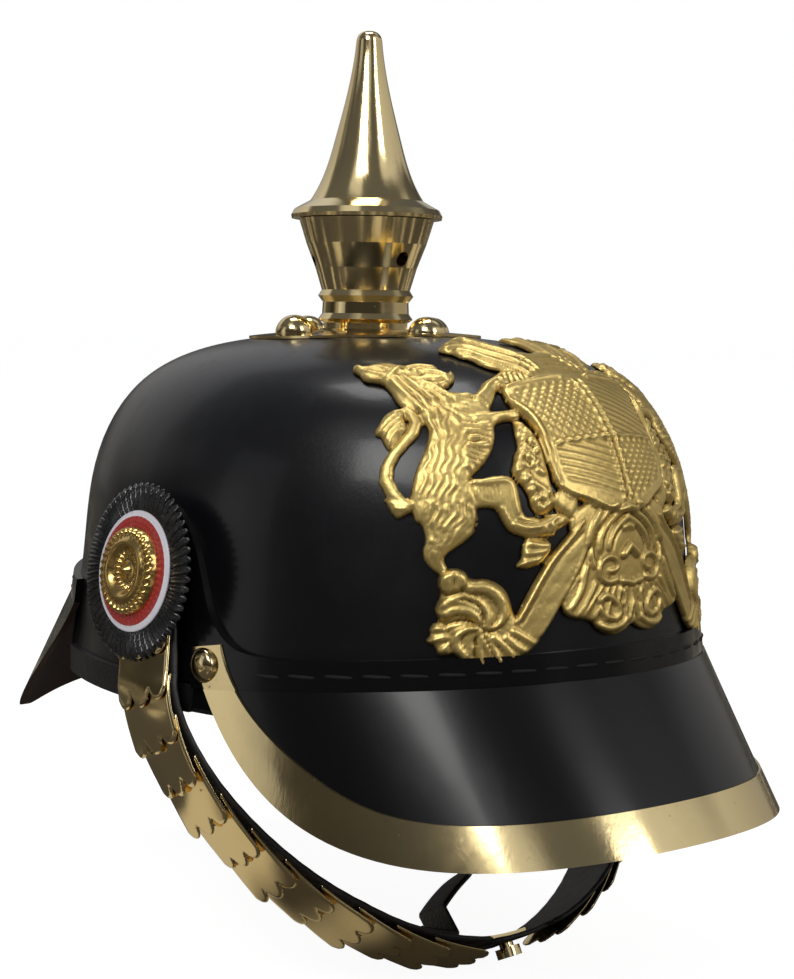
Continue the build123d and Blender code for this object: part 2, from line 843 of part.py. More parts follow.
# Front plate, cut from a thin layer over the shell
tilt = radians(plate_tilt)
plate_plane = Plane(origin=(0, 0, 0), x_dir=(1, 0, 0), z_dir=(0, -cos(tilt), sin(tilt)))
lion_outlines = [lion_body, lion_head, lion_upper_arm, lion_lower_arm, lion_raised_leg, lion_tail_tuft]
foot_outlines = [scroll_coil, scroll_leaf, ribbon_band, lower_rosette]
middle_outlines = [shield_half, garland, mantling]
plate_outlines = lion_outlines + foot_outlines + middle_outlines
plate_sketch = on_half(plate_outlines, lion_tail, lion_tail_width)
with BuildPart() as front_plate:
    add(crown_solid(-plate_gap - plate_metal))
    add(crown_solid(-plate_gap), mode=Mode.SUBTRACT)
    with BuildSketch(plate_plane):
        add(plate_sketch)
    extrude(amount=plate_reach, mode=Mode.INTERSECT)
    with BuildSketch(seam_plane(front_seam_height + stitch_band + fit_gap, -front_seam_slope)):
        Rectangle(2 * shell_length, 2 * shell_length)
    extrude(amount=-flare_drop, mode=Mode.SUBTRACT)

with BuildPart() as plate_loops:
    with BuildSketch(Plane.XZ.offset(loop_inner_reach)):
        with Locations(*loop_places):
            Circle(loop_radius)
    extrude(amount=shell_width)
    add(crown_solid(-plate_gap + head_gap), mode=Mode.INTERSECT)
    for across, up in loop_places:
        with BuildSketch(Plane.XY.offset(up - wedge_length)):
            with Locations((across, -wedge_reach)):
                Circle(wedge_radius + slip_gap)
        extrude(amount=2 * wedge_length, mode=Mode.SUBTRACT)

with BuildPart() as plate_pins:
    for across, up in loop_places:
        with BuildSketch(Plane.XY.offset(up - wedge_length / 2)):
            with Locations((across, -wedge_reach)):
                Circle(wedge_radius)
        extrude(amount=wedge_length)

# Side posts with a collar outside, and their nuts inside
with BuildPart() as post_left:
    with BuildSketch(Plane.YZ.offset(post_inner)):
        with Locations((post_place, post_height)):
            Circle(post_radius)
    extrude(amount=post_tip - post_inner)
    with BuildSketch(Plane.YZ.offset(collar_washer_end - washer)):
        with Locations((post_place, post_height)):
            Circle(collar_washer_radius)
    extrude(amount=washer)
    add(crown_solid(-visor_leather - head_gap), mode=Mode.SUBTRACT)
    with BuildSketch(Plane.YZ.offset(post_inner)):
        with Locations((post_place, post_height)):
            Circle(post_radius)
    extrude(amount=post_tip - post_inner)

with BuildPart() as side_posts:
    add(post_left.part)
    mirror(about=Plane.YZ)

with BuildPart() as nut_left:
    with BuildSketch(Plane.YZ.offset(nut_start)):
        with Locations((post_place, post_height)):
            RegularPolygon(nut_radius, 6)
    extrude(amount=nut_thickness + leather)
    add(crown_solid(leather + slip_gap), mode=Mode.INTERSECT)
    with BuildSketch(Plane.YZ.offset(post_inner)):
        with Locations((post_place, post_height)):
            Circle(post_radius + slip_gap)
    extrude(amount=nut_thickness + leather + washer, mode=Mode.SUBTRACT)

with BuildPart() as side_nuts:
    add(nut_left.part)
    mirror(about=Plane.YZ)

# Leather linings of the chin scales; the left one ends in the buttoned strap
with BuildPart() as strap_post_hole:
    with BuildSketch(Plane.YZ):
        with Locations((post_place, post_height)):
            Circle(cockade_hole)
    extrude(amount=shell_width)

with BuildPart() as lining_hole_tool:
    with BuildSketch(Plane.YZ):
        with Locations((post_place, post_height)):
            Circle(lining_hole)
    extrude(amount=shell_width)

grid = [first_scale + scale_pitch * step / 2 for step in range(2 * scale_count)]
lining_stop = strap_length - lining_end
half_stations = [-lining_top] + [reach for reach in grid if reach < lining_stop] + [lining_stop]
half_widths = [scale_width(reach) + 2 * lining_margin for reach in half_stations]

with BuildPart() as scale_backing_right:
    add(strip_solid(half_stations, strap_plane, lambda reach: -lining / 2, lining, half_widths))
    add(lining_hole_tool.part, mode=Mode.SUBTRACT)
    mirror(about=Plane.YZ, mode=Mode.REPLACE)

end_stations = [strap_length + chain_step * step for step in range(-2, end_steps + 1)]
left_stations = half_stations + end_stations
left_widths = half_widths + [end_strap_width] * len(end_stations)
chin_plane = chain_plane(strap_length)
with BuildPart() as scale_backing_left:
    add(strip_solid(left_stations, chain_plane, lambda reach: -lining / 2, lining, left_widths))
    add(lining_hole_tool.part, mode=Mode.SUBTRACT)
    with BuildSketch(chin_plane):
        with Locations((0, slot_place)):
            SlotOverall(slot_length, slot_width, rotation=90)
    extrude(amount=scale_pitch, both=True, mode=Mode.SUBTRACT)
    with BuildSketch(chin_plane):
        with Locations((0, end_strap_reach)):
            Rectangle(2 * end_strap_width, end_strap_width)
        with Locations((0, end_strap_reach - end_strap_width / 2)):
            Circle(end_strap_width / 2, mode=Mode.SUBTRACT)
    extrude(amount=scale_pitch, both=True, mode=Mode.SUBTRACT)

# Brass tab with a button, on the right lining
tab_lift = -lining / 2 - tab_gap - tab_metal
tab_stations = [strap_length + chain_step * step for step in range(-1, tab_steps)]
tab_widths = [tab_width] * len(tab_stations)
with BuildPart() as chin_tab:
    add(strip_solid(tab_stations, chain_plane, lambda reach: tab_lift, tab_metal, tab_widths))

with BuildPart() as chin_button:
    button_plane = Plane(origin=chin_plane.origin, x_dir=chin_plane.x_dir, z_dir=chin_plane.z_dir)
    with BuildSketch(button_plane.offset(tab_lift + tab_metal + head_gap)):
        Circle(button_radius)
    extrude(amount=tab_gap - head_gap + lining + button_clear)
    with BuildSketch(button_plane.offset(lining / 2 + button_clear)):
        Circle(button_knob_radius)
    extrude(amount=button_knob)

# Adjusting strap under the right lining, its loose end rising toward the middle
adjuster_lift = tab_lift - stack_gap - adjuster_leather
hold_reaches = [adjuster_start - chain_step * step for step in range(hold_steps + 1)]
hold_planes = [chain_plane(strap_length + reach) for reach in hold_reaches]
bend = Vector(*adjuster_bend)
rise = (Vector(*adjuster_tip) - bend).normalized()
rise_across = hold_planes[-1].x_dir
rise_across = (rise_across - rise * rise_across.dot(rise)).normalized()
with BuildPart() as adjuster_strap:
    for at in hold_planes:
        middle = at.origin + at.z_dir * (adjuster_lift + adjuster_leather / 2)
        with BuildSketch(Plane(origin=middle, x_dir=at.x_dir, z_dir=-at.y_dir)):
            Rectangle(adjuster_width, adjuster_leather)
    for point in (bend, Vector(*adjuster_tip)):
        with BuildSketch(Plane(origin=point, x_dir=rise_across, z_dir=rise)):
            Rectangle(adjuster_width, adjuster_leather)
    loft(ruled=True)

# Cockade of narrow petals, its painted centre, and the rosette over it
stack_plane = strap_plane(0)
petal_points = []
for step in range(2 * petal_count):
    turn = radians(full_turn / 2 * step / petal_count)
    reach = cockade_radius - petal_depth * (step % 2)
    petal_points.append((reach * cos(turn), reach * sin(turn)))

with BuildPart() as cockade_left:
    with BuildSketch(stack_plane.offset(cockade_lift)):
        with BuildLine():
            Polyline(*petal_points, close=True)
        make_face()
        Circle(cockade_hole, mode=Mode.SUBTRACT)
    extrude(amount=cockade_metal)

centre_lift = cockade_lift + cockade_metal + stack_gap
with BuildPart() as centre_left:
    with BuildSketch(stack_plane.offset(centre_lift)):
        Circle(ring_radius)
        Circle(cockade_hole, mode=Mode.SUBTRACT)
    extrude(amount=ring_metal)

with BuildPart() as rosette_shape:
    with BuildSketch(Plane.XZ):
        with BuildLine():
            Polyline(*rosette_outline, close=True)
        make_face()
    revolve(axis=Axis.Z)

rosette_plane = stack_plane.offset(centre_lift + ring_metal + stack_gap)
with BuildPart() as rosette_left:
    with Locations(rosette_plane):
        add(rosette_shape.part)

# Liner: a head band that rises into tongues, on a narrow foot ring
liner_half = shell_width / 2 - liner_inset
liner_high = crown_height - liner_top_inset
liner_foot_inner = (liner_half - liner_leather) * crown_shares[0][0]
with BuildPart() as liner_cavity:
    add(dome_solid(liner_half - liner_leather, liner_high - liner_leather))

with BuildPart() as liner:
    add(dome_solid(liner_half, liner_high))
    with BuildSketch(Plane.XY.offset(fit_gap)):
        Ellipse(lip_foot - 2 * fit_gap, lip_foot * plan_stretch - 2 * fit_gap)
    extrude(amount=liner_foot)
    with BuildSketch():
        Rectangle(2 * shell_length, 2 * shell_length)
    extrude(amount=fit_gap, mode=Mode.SUBTRACT)
    add(liner_cavity.part, mode=Mode.SUBTRACT)
    with BuildSketch(Plane.XY.offset(band_height)):
        Circle(finger_hole)
        for turn in range(finger_count):
            with Locations(Location((0, 0), full_turn * turn / finger_count + vent_start)):
                with Locations((shell_length / 2, 0)):
                    Rectangle(shell_length, finger_slot)
    extrude(amount=crown_height, mode=Mode.SUBTRACT)

# Names of the pieces
pieces = {
    "skull_shell": skull_shell.part,
    "rim_binding": rim_binding.part,
    "front_visor": front_visor.part,
    "rear_visor": rear_visor.part,
    "visor_trim": visor_trim.part,
    "trim_rivets": trim_rivets.part,
    "spike_base": spike_base.part,
    "base_studs": base_studs.part,
    "base_stud_nuts": base_stud_nuts.part,
    "spike_neck": spike_neck.part,
    "spike_cone": spike_cone.part,
    "spike_screw": spike_screw.part,
    "front_plate": front_plate.part,
    "plate_loops": plate_loops.part,
    "plate_pins": plate_pins.part,
    "side_posts": side_posts.part,
    "side_nuts": side_nuts.part,
    "scale_backing_left": scale_backing_left.part,
    "scale_backing_right": scale_backing_right.part,
    "cockade_petals_left": cockade_left.part,
    "cockade_petals_right": mirrored(cockade_left.part),
    "cockade_centre_left": centre_left.part,
    "cockade_centre_right": mirrored(centre_left.part),
    "rosette_left": rosette_left.part,
    "rosette_right": mirrored(rosette_left.part),
    "chin_tab": chin_tab.part,
    "chin_button": chin_button.part,
    "adjuster_strap": adjuster_strap.part,
    "liner": liner.part,
}
for count in range(scale_count):
    plate = scale_solid(count)
    pieces[f"scale_left_{count + 1:02d}"] = plate
    pieces[f"scale_right_{count + 1:02d}"] = mirrored(plate)

for name, piece in pieces.items():
    piece.label = name
    export_step(piece, f"parts/{name}.step")
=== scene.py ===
"""Dresses a leather spiked helmet: leather, brass, relief plate, cockades and stitching."""

import math

import bmesh
import bpy
import numpy as np
from mathutils import Matrix, Vector
from mathutils.bvhtree import BVHTree


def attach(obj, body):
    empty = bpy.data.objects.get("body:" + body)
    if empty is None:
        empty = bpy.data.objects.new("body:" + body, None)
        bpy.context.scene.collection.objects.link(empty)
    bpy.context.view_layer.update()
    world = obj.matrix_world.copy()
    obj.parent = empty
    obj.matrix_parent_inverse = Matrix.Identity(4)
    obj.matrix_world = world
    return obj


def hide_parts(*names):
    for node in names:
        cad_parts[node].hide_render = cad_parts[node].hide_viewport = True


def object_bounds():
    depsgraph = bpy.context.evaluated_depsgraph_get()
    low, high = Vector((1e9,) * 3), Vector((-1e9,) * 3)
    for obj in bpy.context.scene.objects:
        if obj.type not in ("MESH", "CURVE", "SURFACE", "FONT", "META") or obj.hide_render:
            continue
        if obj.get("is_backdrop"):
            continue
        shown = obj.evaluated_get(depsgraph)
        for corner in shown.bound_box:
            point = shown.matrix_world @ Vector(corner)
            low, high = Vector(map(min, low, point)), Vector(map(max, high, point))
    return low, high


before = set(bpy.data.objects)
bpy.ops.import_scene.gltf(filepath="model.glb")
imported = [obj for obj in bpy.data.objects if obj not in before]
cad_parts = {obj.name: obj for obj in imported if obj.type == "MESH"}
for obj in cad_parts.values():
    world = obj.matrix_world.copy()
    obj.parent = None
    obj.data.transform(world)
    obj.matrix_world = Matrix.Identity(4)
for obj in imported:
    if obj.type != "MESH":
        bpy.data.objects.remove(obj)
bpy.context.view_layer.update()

bl_info = {
    "name": "Spiked Helmet Dressing",
    "version": (1, 0, 0),
    "blender": (4, 5, 0),
    "location": "3D View > Sidebar > Helmet",
    "description": "Leather, brass, relief and stitching for a spiked leather helmet",
    "category": "Object",
}

MM = 0.001
SHELL_WIDTH = 188.0
SHELL_LENGTH = 226.4
STRETCH = SHELL_LENGTH / SHELL_WIDTH
FAR = 1e9
TINY = 1e-9

# The camera of the photograph: place in metres, its right and up, and the picture in pixels
CAMERA_PLACE = Vector((-0.42285, -0.47812, 0.1184))
CAMERA_RIGHT = Vector((0.7428, -0.6693, 0.0158))
CAMERA_UP = Vector((0.0485, 0.0773, 0.9958))
CAMERA_LENS = 66.94
CAMERA_SENSOR = 36.0
PICTURE_WIDTH = 794
PICTURE_HEIGHT = 979

# The crown, in mm, measured by rays that start in metres
CROWN_ANGLES = np.arange(31) * 3.0
CROWN_BEARING = math.radians(45.0)
CROWN_FAR = 0.4
CROWN_SPAN = 260.0
HALVINGS = 36


def crown_outline():
    """Distances in mm from the opening's centre to the shell's outside, at CROWN_ANGLES."""
    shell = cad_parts["skull_shell"]
    corners = [shell.matrix_world @ vertex.co for vertex in shell.data.vertices]
    tree = BVHTree.FromPolygons(corners, [tuple(face.vertices) for face in shell.data.polygons])
    reaches = []
    for rise in np.radians(CROWN_ANGLES):
        wide = math.cos(rise)
        ahead, aside = math.cos(CROWN_BEARING), STRETCH * math.sin(CROWN_BEARING)
        plan = Vector((wide * ahead, wide * aside, math.sin(rise)))
        place = tree.ray_cast(plan * CROWN_FAR, -plan)[0]
        if place is None or (reaches and place.z < 0.9 * reaches[-1] * MM * math.sin(rise)):
            reaches.append(reaches[-1])
        else:
            reaches.append(math.hypot(place.x, place.y / STRETCH, place.z) / MM)
    return reaches


CROWN_REACH = crown_outline()


def crown_depth(x, y, z):
    """How far points lie inside the crown's outside, in mm, negative outside it."""
    across = np.hypot(x, y / STRETCH)
    angle = np.degrees(np.arctan2(z, across))
    return np.interp(angle, CROWN_ANGLES, CROWN_REACH) - np.hypot(across, z)


def onto_crown(x, y, z, toward, lift):
    """Moves points along a direction until they lie lift mm outside the crown."""
    near = np.zeros_like(x)
    far = np.full_like(x, CROWN_SPAN)
    for _ in range(HALVINGS):
        half = (near + far) / 2
        depth = crown_depth(x + toward[0] * half, y + toward[1] * half, z + toward[2] * half)
        near = np.where(depth > -lift, half, near)
        far = np.where(depth > -lift, far, half)
    return x + toward[0] * near, y + toward[1] * near, z + toward[2] * near


# Materials


class Ink:
    """A socket in a node tree, with arithmetic that adds Math nodes."""

    def __init__(self, paint, socket):
        self.paint = paint
        self.socket = socket

    def maths(self, operation, other):
        return self.paint.node("ShaderNodeMath", {"operation": operation}, {0: self, 1: other})

    def __add__(self, other):
        return self.maths("ADD", other)

    __radd__ = __add__

    def __mul__(self, other):
        return self.maths("MULTIPLY", other)

    __rmul__ = __mul__

    def __rsub__(self, other):
        return self.paint.node("ShaderNodeMath", {"operation": "SUBTRACT"}, {0: other, 1: self})

    def between(self, low, high):
        """0 at low, 1 at high, smooth in between."""
        return self.paint.node(
            "ShaderNodeMapRange",
            {"interpolation_type": "SMOOTHSTEP"},
            {"Value": self, "From Min": low, "From Max": high},
        )


class Paint:
    """A material or a world under construction."""

    def __init__(self, name, kind="materials", space="Object"):
        self.material = getattr(bpy.data, kind).new(name)
        self.material.use_nodes = True
        self.tree = self.material.node_tree
        self.tree.nodes.clear()
        self.place = self.node("ShaderNodeTexCoord", {}, {}, space)

    def node(self, kind, traits, inputs, output=0):
        """Adds a node: its settings first, then values or links of its sockets."""
        made = self.tree.nodes.new(kind)
        stops = traits.get("stops")
        for key, value in traits.items():
            if key != "stops":
                setattr(made, key, value)
        if stops:
            ramp = made.color_ramp
            while len(ramp.elements) < len(stops):
                ramp.elements.new(0.5)
            for element, (where, colour) in zip(ramp.elements, stops):
                element.position = where
                element.color = (*colour, 1.0)
        for key, value in inputs.items():
            target = made.inputs[key]
            if isinstance(value, Ink):
                self.tree.links.new(value.socket, target)
            else:
                target.default_value = value
        return Ink(self, made.outputs[output]) if len(made.outputs) else None

    def noise(self, scale, detail=4.0, rough=0.55, stretch=None):
        place = self.place
        if stretch:
            place = self.node("ShaderNodeMapping", {}, {"Vector": place, "Scale": stretch})
        inputs = {"Vector": place, "Scale": scale, "Detail": detail, "Roughness": rough}
        return self.node("ShaderNodeTexNoise", {}, inputs)

    def cells(self, scale):
        return self.node("ShaderNodeTexVoronoi", {}, {"Vector": self.place, "Scale": scale})

    def mix(self, share, first, second):
        inputs = {0: share}
        for index, colour in ((6, first), (7, second)):
            inputs[index] = colour if isinstance(colour, Ink) else (*colour, 1.0)
        return self.node("ShaderNodeMix", {"data_type": "RGBA"}, inputs, 2)

    def bump(self, height, depth, distance):
        return self.node("ShaderNodeBump", {}, {"Height": height, "Strength": depth, "Distance": distance})

    def axis(self, index, socket=None):
        return self.node("ShaderNodeSeparateXYZ", {}, {"Vector": socket or self.place}, index)

    def glow(self, kind, colour, strength=1.0):
        """An emission or background shader."""
        inputs = {"Color": colour if isinstance(colour, Ink) else (*colour, 1.0), "Strength": strength}
        return self.node(kind, {}, inputs)

    def blend(self, share, first, second):
        return self.node("ShaderNodeMixShader", {}, {0: share, 1: first, 2: second})

    def ray(self, kind):
        return self.node("ShaderNodeLightPath", {}, {}, kind)

    def finish(self, tone, rough, metallic, normal, coat=0.0, coat_rough=0.05, specular=0.5):
        """Closes the material with its surface."""
        inputs = {"Base Color": tone, "Roughness": rough, "Metallic": metallic, "Normal": normal}
        inputs.update({"Coat Weight": coat, "Coat Roughness": coat_rough, "Specular IOR Level": specular})
        shader = self.node("ShaderNodeBsdfPrincipled", {}, inputs)
        self.node("ShaderNodeOutputMaterial", {}, {"Surface": shader})
        return self.material


def lacquered_leather(name, colour, haze, rough, coat):
    """Black shell leather: lacquered, faintly rippled, with a soft bluish bloom."""
    paint = Paint(name)
    cloud = paint.noise(14.0, 5.0)
    streak = paint.noise(9.0, 6.0, 0.6, (3.0, 3.0, 0.5))
    pores = paint.cells(900.0)
    dust = paint.noise(160.0, 3.0)
    bloom = cloud.between(0.42, 0.72) * 0.6 + streak.between(0.5, 0.8) * 0.4
    tone = paint.mix(bloom, colour, haze)
    height = pores * 0.16 + paint.noise(60.0, 3.0) * 0.5 + cloud * 1.4
    normal = paint.bump(height, 0.14, 0.0006)
    gloss = rough + bloom * 0.1 + dust.between(0.55, 0.75) * 0.05
    return paint.finish(tone, gloss, 0.0, normal, coat, 0.12, 0.34)


def patent_leather(name, colour, under, rough, coat):
    """Glossy visor leather, brown and matt on its underside."""
    paint = Paint(name)
    normal_way = paint.node("ShaderNodeNewGeometry", {}, {}, "Normal")
    up = paint.axis(2, normal_way)
    shaded = up.between(-0.02, -0.12)
    cloud = paint.noise(18.0, 5.0)
    grain = paint.cells(700.0)
    tone = paint.mix(shaded * 0.9, colour, paint.mix(cloud, under, tuple(c * 0.45 for c in under)))
    ripple = paint.noise(30.0, 2.0) * 1.2 + grain * (shaded * 0.6 + 0.06)
    normal = paint.bump(ripple, 0.14, 0.0006)
    gloss = rough + cloud.between(0.5, 0.8) * 0.07 + shaded * 0.35
    return paint.finish(tone, gloss, 0.0, normal, coat * (1 - shaded), 0.12, 0.28)


def soft_leather(name, colour, worn, rough, grain_scale):
    """Matt strap or lining leather with pores and rubbed patches."""
    paint = Paint(name)
    cloud = paint.noise(40.0, 5.0)
    grain = paint.cells(grain_scale)
    crease = paint.noise(220.0, 4.0)
    tone = paint.mix(cloud.between(0.45, 0.75) * 0.8, colour, worn)
    normal = paint.bump(grain * 0.7 + crease * 0.6, 0.35, 0.0004)
    return paint.finish(tone, rough + crease * 0.12, 0.0, normal, 0.05, 0.3)


def polished_brass(name, colour, aged, rough, spots):
    """Polished brass: fine rubbing marks, warm uneven tarnish and a few dark spots."""
    paint = Paint(name)
    cloud = paint.noise(28.0, 6.0, 0.6)
    fine = paint.noise(900.0, 2.0, 0.5, (1.0, 1.0, 0.12))
    specks = paint.noise(330.0, 2.0)
    stain = specks.between(0.70, 0.78) * spots
    tone = paint.mix(cloud.between(0.45, 0.8) * 0.45, colour, aged)
    tone = paint.mix(stain, tone, tuple(c * 0.3 for c in aged))
    normal = paint.bump(fine * 0.25 + cloud * 1.5, 0.10, 0.0004)
    gloss = rough + cloud.between(0.4, 0.8) * 0.07 + fine * 0.04 + stain * 0.3
    return paint.finish(tone, gloss, 1.0, normal)


def gilt_relief(name, colour, deep, rough):
    """Satin gilt stamping, with painted shade where its layers lie low."""
    paint = Paint(name)
    cloud = paint.noise(60.0, 5.0, 0.6)
    fine = paint.noise(1400.0, 3.0)
    # The "low" attribute carries painted shade: the relief's hollows and the plate's back
    low = paint.node("ShaderNodeAttribute", {"attribute_name": "low"}, {}, "Fac")
    tone = paint.mix(low * 0.85, paint.mix(cloud.between(0.4, 0.75) * 0.35, colour, deep), deep)
    # Painted deep shade in the deepest hollows
    tone = paint.mix(low.between(0.62, 1.0) * 0.7, tone, tuple(c * 0.25 for c in deep))
    normal = paint.bump(fine * 0.5 + paint.noise(420.0, 3.0) * 0.8, 0.22, 0.0004)
    return paint.finish(tone, rough + fine * 0.1 + low * 0.12, 1.0, normal)


def painted(name, attribute_colours, rough, coat):
    """Enamel whose colour follows the rings stored on the mesh."""
    paint = Paint(name)
    ring = paint.node("ShaderNodeAttribute", {"attribute_name": "ring"}, {}, "Fac")
    stops = [((i + 0.001) / len(attribute_colours), c) for i, c in enumerate(attribute_colours)]
    tone = paint.node("ShaderNodeValToRGB", {"stops": stops}, {"Fac": ring})
    tone.socket.node.color_ramp.interpolation = "CONSTANT"
    dust = paint.noise(300.0, 4.0)
    tone = paint.mix(dust.between(0.5, 0.8) * 0.12, tone, (0.35, 0.33, 0.31))
    normal = paint.bump(dust, 0.08, 0.0003)
    return paint.finish(tone, rough + dust * 0.12, 0.0, normal, coat, 0.15)


def thread_finish(name, colour):
    """Waxed sewing thread."""
    paint = Paint(name)
    twist = paint.noise(2500.0, 2.0)
    tone = paint.mix(twist, colour, tuple(c * 2.2 + 0.01 for c in colour))
    return paint.finish(tone, 0.7, 0.0, paint.bump(twist, 0.4, 0.0002), specular=0.25)


# Pieces


def settings():
    """The sizes and colours shown in the sidebar."""
    return bpy.context.scene.helmet_dressing


def clad(node_names, material):
    """Gives CAD nodes a material."""
    for name in node_names:
        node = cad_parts[name]
        node.data.materials.clear()
        node.data.materials.append(material)
        for polygon in node.data.polygons:
            polygon.material_index = 0


def piece(name, points, faces, body, slot, material, replaced=(), layers=None):
    """A new smooth mesh, in metres in the shared frame, that moves with a body."""
    mesh = bpy.data.meshes.new(name)
    mesh.from_pydata([tuple(p) for p in points], [], [tuple(int(i) for i in f) for f in faces])
    for key, values in (layers or {}).items():
        layer = mesh.attributes.new(key, "FLOAT", "POINT")
        layer.data.foreach_set("value", np.asarray(values, np.float32))
    mesh.validate()
    mesh.update()
    mesh.polygons.foreach_set("use_smooth", [True] * len(mesh.polygons))
    made = bpy.data.objects.new(name, mesh)
    bpy.context.scene.collection.objects.link(made)
    mesh.materials.append(material)
    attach(made, body)
    if replaced:
        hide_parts(*replaced)
    return made


def outward(made):
    """Turns a closed mesh's faces outward."""
    work = bmesh.new()
    work.from_mesh(made.data)
    bmesh.ops.recalc_face_normals(work, faces=work.faces)
    work.to_mesh(made.data)
    work.free()
    made.data.update()


# The front plate


def segment_gaps(px, py, line):
    """For each segment of a line: the distance of points to it, and their share along it."""
    for (ax, ay), (bx, by) in zip(line, line[1:]):
        dx, dy = bx - ax, by - ay
        share = np.clip(((px - ax) * dx + (py - ay) * dy) / (dx * dx + dy * dy + TINY), 0, 1)
        yield np.hypot(px - ax - dx * share, py - ay - dy * share), share


def outline_distance(px, py, outline):
    """Signed distance from points to a closed outline, negative inside."""
    edge = np.concatenate([outline, outline[:1]])
    nearest = np.full(px.shape, FAR)
    inside = np.zeros(px.shape, bool)
    for gap, _ in segment_gaps(px, py, edge):
        nearest = np.minimum(nearest, gap)
    for (ax, ay), (bx, by) in zip(edge, edge[1:]):
        if ay != by:
            crosses = (ay > py) != (by > py)
            inside ^= crosses & (px < (bx - ax) * (py - ay) / (by - ay) + ax)
    return np.where(inside, -nearest, nearest)


def stem_distance(px, py, line, widths):
    """Signed distance to a line with a width that changes along it."""
    nearest = np.full(px.shape, FAR)
    for (gap, share), first, last in zip(segment_gaps(px, py, line), widths, widths[1:]):
        nearest = np.minimum(nearest, gap - (first + (last - first) * share) / 2)
    return nearest


def cut_corners(points, after):
    """Two points a quarter in from each end of every segment."""
    return np.stack([points * 0.75 + after * 0.25, points * 0.25 + after * 0.75], 1).reshape(-1, 2)


def rounded(outline):
    """A coarse closed outline with its corners cut once."""
    points = np.asarray(outline, float)
    return cut_corners(points, np.roll(points, -1, axis=0))


def flowing(line):
    """Corner cutting, twice, along an open line, whose ends stay."""
    points = np.asarray(line, float)
    if len(points) < 3:
        return points
    for _ in range(2):
        cut = cut_corners(points[:-1], points[1:])
        points = np.concatenate([points[:1], cut[1:-1], points[-1:]])
    return points


PLATE_TILT = math.radians(30.0)
PLATE_FORWARD = np.array([0.0, -math.cos(PLATE_TILT), math.sin(PLATE_TILT)])
PLATE_UPWARD = np.array([0.0, math.sin(PLATE_TILT), math.cos(PLATE_TILT)])
# The plate in mm: its grid's reach, how far it and its back stand off, and its main parts
PLATE_HALF = 69.0
PLATE_LOW = -41.0
PLATE_HIGH = 76.0
PLATE_LIFT = 0.45
PLATE_BACK = 0.35
PLATE_GROUND = 0.4
SHIELD_HALF = 29.0
SHIELD_BULGE = 2.2
CROSS_HEIGHT = 20.0
COIL_MIDDLE = (-48.0, -23.0)
SIDE_HEIGHT = 40.0
CROWN_LEAN = 1.3
# Crops of the photograph that the plate's points were picked on: left, top, enlargement
HEAD = (350.0, 335.0, 7.143)
FOOT = (420.0, 500.0, 5.172)
WHOLE = (340.0, 320.0, 2.36842)
# Search for the plate's face along a ray, in mm from the camera
PICK_NEAR = 380.0
PICK_FAR = 760.0
PICK_STEP = 1.5
PICK_LIFT = 2.0
PICK_HALVINGS = 20


def picked(crop, points):
    """Crop pixels taken along the camera's rays to the plate: mm across and up it, square on."""
    left, top, scale = crop
    pixels = np.asarray(points, float) / scale + (left, top)
    focus = CAMERA_LENS / CAMERA_SENSOR * PICTURE_HEIGHT
    right, up = np.array(CAMERA_RIGHT), np.array(CAMERA_UP)
    eye = np.array(CAMERA_PLACE) / MM
    found = []
    for px, py in pixels:
        way = right * (px - PICTURE_WIDTH / 2) / focus - up * (py - PICTURE_HEIGHT / 2) / focus
        way = way - np.cross(right, up)
        way /= np.linalg.norm(way)
        steps = np.arange(PICK_NEAR, PICK_FAR, PICK_STEP)
        depth = crown_depth(*(eye[:, None] + way[:, None] * steps)) + PICK_LIFT
        if depth.max() > 0:
            far = steps[np.argmax(depth > 0)]
            near = far - PICK_STEP
            for _ in range(PICK_HALVINGS):
                half = (near + far) / 2
                inside = crown_depth(*(eye + way * half)) + PICK_LIFT > 0
                near, far = (near, half) if inside else (half, far)
        else:
            far = steps[np.argmax(depth)]
        place = eye + way * far
        found.append((place[0], place @ PLATE_UPWARD))
    return found


